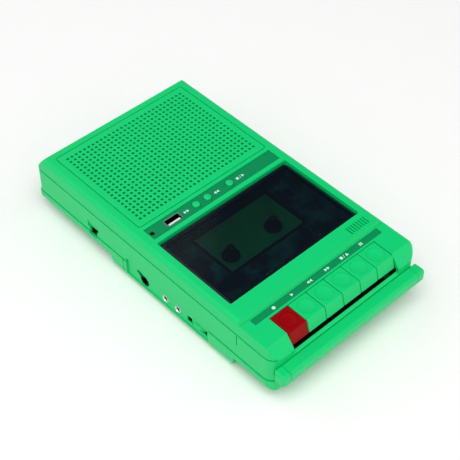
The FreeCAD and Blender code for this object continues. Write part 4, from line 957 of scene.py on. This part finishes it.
# %% Helix
def coil(start, axis, radius, wire, turns, length, taper=0.0, per_turn=20, around=8):
    """Wire circle swept along (radius x (1 - taper t)) turned about the axis through start."""
    t = np.linspace(0, 1, int(turns * per_turn) + 1)
    angle = t * turns * 2 * np.pi
    r = radius * (1 - taper * t)
    axis = np.asarray(axis, float)
    side = np.cross(axis, [0, 0, 1.0]) if abs(axis[2]) < 0.9 else np.array([1.0, 0, 0])
    side /= np.linalg.norm(side)
    other = np.cross(axis, side)
    out = np.cos(angle)[:, None] * side + np.sin(angle)[:, None] * other
    path = np.asarray(start) + r[:, None] * out + (t * length)[:, None] * axis
    ring = np.arange(around) * 2 * np.pi / around
    loops = path[:, None] + wire * (np.cos(ring)[None, :, None] * out[:, None]
                                    + np.sin(ring)[None, :, None] * axis)
    points, faces = skin(loops)
    return points, [face[::-1] for face in faces]


coils = [coil((middle_of_key[name] + 4.6 * MM, key_axis_y, key_axis_z), (1, 0, 0), 2.1 * MM,
              0.3 * MM, 4, 3.0 * MM) for name in key_names]
surface("key_coils", coils, steel, "case", ("key_springs",))

low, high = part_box("battery_contacts")
cell = 26.4 * MM
contact_z = (low[2] + high[2]) / 2
contact_y = [(low[1] + high[1]) / 2 + s * cell / 2 for s in (-1, 1)]
plates = []
for y in contact_y:
    for x0, x1 in ((low[0], low[0] + 0.5 * MM), (high[0] - 0.5 * MM, high[0])):
        flat = outline(y - 8 * MM, y + 8 * MM, contact_z - 8 * MM, contact_z + 8 * MM, 1.5 * MM)
        plates.append(skin(np.array([np.column_stack([np.full(24, v), flat]) for v in (x0, x1)])))
    plates.append(coil((high[0] - 0.6 * MM, y, contact_z), (-1, 0, 0), 5.2 * MM, 0.4 * MM, 3.5,
                       3.2 * MM, 0.5))
surface("battery_springs", plates, steel, "case", ("battery_contacts",))

# %% [markdown]
# ## Everything else keeps its CAD shape
#
# Shafts, belts, the magnet and the other hidden parts are right as they are. They only need a
# finish in place of the plain one they came with.

# %% Finishes for the carried-over nodes
for node, thing in nodes_of_frame.items():
    thing.data.materials.clear()
    thing.data.materials.append(finish_of_slot[slot_of_node[node]])
print("finishes given to", len(nodes_of_frame), "nodes")

# %% [markdown]
# ## Studio
#
# A plain pale floor, a white sky for fill, one large soft light over the near left corner and a
# weaker one behind give the even, bright product light. The camera looks down at 46 degrees over
# the key and socket corner, through a lens long enough to keep the sides nearly parallel.


# %% Floor
def pale_floor():
    """A flat grid of 4 m; a slow noise keeps it from being one dead tone."""
    line = np.linspace(-2.0, 2.0, 9)
    x, y = np.meshgrid(line, line)
    points = np.stack([x, y, np.zeros_like(x)], -1).reshape(-1, 3)
    index = np.arange(81).reshape(9, 9)
    quads = np.stack([index[:-1, :-1], index[:-1, 1:], index[1:, 1:], index[1:, :-1]], -1)
    mesh = bpy.data.meshes.new("floor")
    mesh.from_pydata(points, [], quads.reshape(-1, 4).tolist())
    mesh.materials.append(finish("floor_paper", (0.97, 0.97, 0.97), 0.7, drift=0.01, grain=300.0,
                                 depth=0.00001, specular=0.2))
    floor = bpy.data.objects.new("floor", mesh)
    bpy.context.scene.collection.objects.link(floor)
    return floor


pale_floor()


# %% Lights
def soft_light(name, place, target, size, power, colour):
    lamp_data = bpy.data.lights.new(name, "AREA")
    lamp_data.shape = "DISK"
    lamp_data.size = size
    lamp_data.energy = power
    lamp_data.color = colour
    light = bpy.data.objects.new(name, lamp_data)
    light.location = place
    light.rotation_euler = (Vector(target) - Vector(place)).to_track_quat("-Z", "Y").to_euler()
    bpy.context.scene.collection.objects.link(light)


soft_light("key_light", (-0.40, -0.45, 1.5), (0, 0, 0), 1.3, 12.5, (1.0, 0.99, 0.97))
soft_light("fill_light", (0.2, 1.3, 1.1), (0, 0, 0), 1.6, 3.0, (0.94, 0.98, 1.0))


def studio_sky(card, dark_cosine, bright_cosine):
    """White overhead, a third darker at the horizon, and a soft dark card: brightness falls to
    0.05 as the cosine of the angle from the card's direction rises to dark_cosine."""
    world = bpy.data.worlds.new("studio_sky")
    world.use_nodes = True
    tree = world.node_tree
    place = tree.nodes.new("ShaderNodeTexCoord")
    aim = tree.nodes.new("ShaderNodeVectorMath")
    aim.operation = "DOT_PRODUCT"
    aim.inputs[1].default_value = card
    tree.links.new(place.outputs["Generated"], aim.inputs[0])
    ramp = tree.nodes.new("ShaderNodeMapRange")
    ramp.interpolation_type = "SMOOTHSTEP"
    for key, value in (("From Min", bright_cosine), ("From Max", dark_cosine), ("To Min", 1.0),
                       ("To Max", 0.05)):
        ramp.inputs[key].default_value = value
    tree.links.new(aim.outputs["Value"], ramp.inputs["Value"])
    axes = tree.nodes.new("ShaderNodeSeparateXYZ")
    tree.links.new(place.outputs["Generated"], axes.inputs["Vector"])
    rise = tree.nodes.new("ShaderNodeMapRange")
    rise.inputs["To Min"].default_value = 0.62
    rise.inputs["To Max"].default_value = 0.96
    tree.links.new(axes.outputs["Z"], rise.inputs["Value"])
    shader = tree.nodes["Background"]
    tree.links.new(ramp.outputs["Result"], shader.inputs["Color"])
    tree.links.new(rise.outputs["Result"], shader.inputs["Strength"])
    bpy.context.scene.world = world


studio_sky((0.475, 0.499, 0.7247), math.cos(math.radians(30)), math.cos(math.radians(46)))
bpy.context.scene.view_settings.view_transform = "Standard"

# %% Camera
LENS = 93.2
camera_place = Vector((-0.41885, -0.44589, 0.66558))
look = Vector((0.47497, 0.49924, -0.72468))
camera_data = bpy.data.cameras.new("camera")
camera_data.sensor_width = 36.0
camera_data.lens = LENS
camera = bpy.data.objects.new("camera", camera_data)
camera.location = camera_place
camera.rotation_mode = "QUATERNION"
roll = Quaternion(look, math.radians(-0.6))
camera.rotation_quaternion = roll @ look.to_track_quat("-Z", "Y")
bpy.context.scene.collection.objects.link(camera)
bpy.context.scene.camera = camera
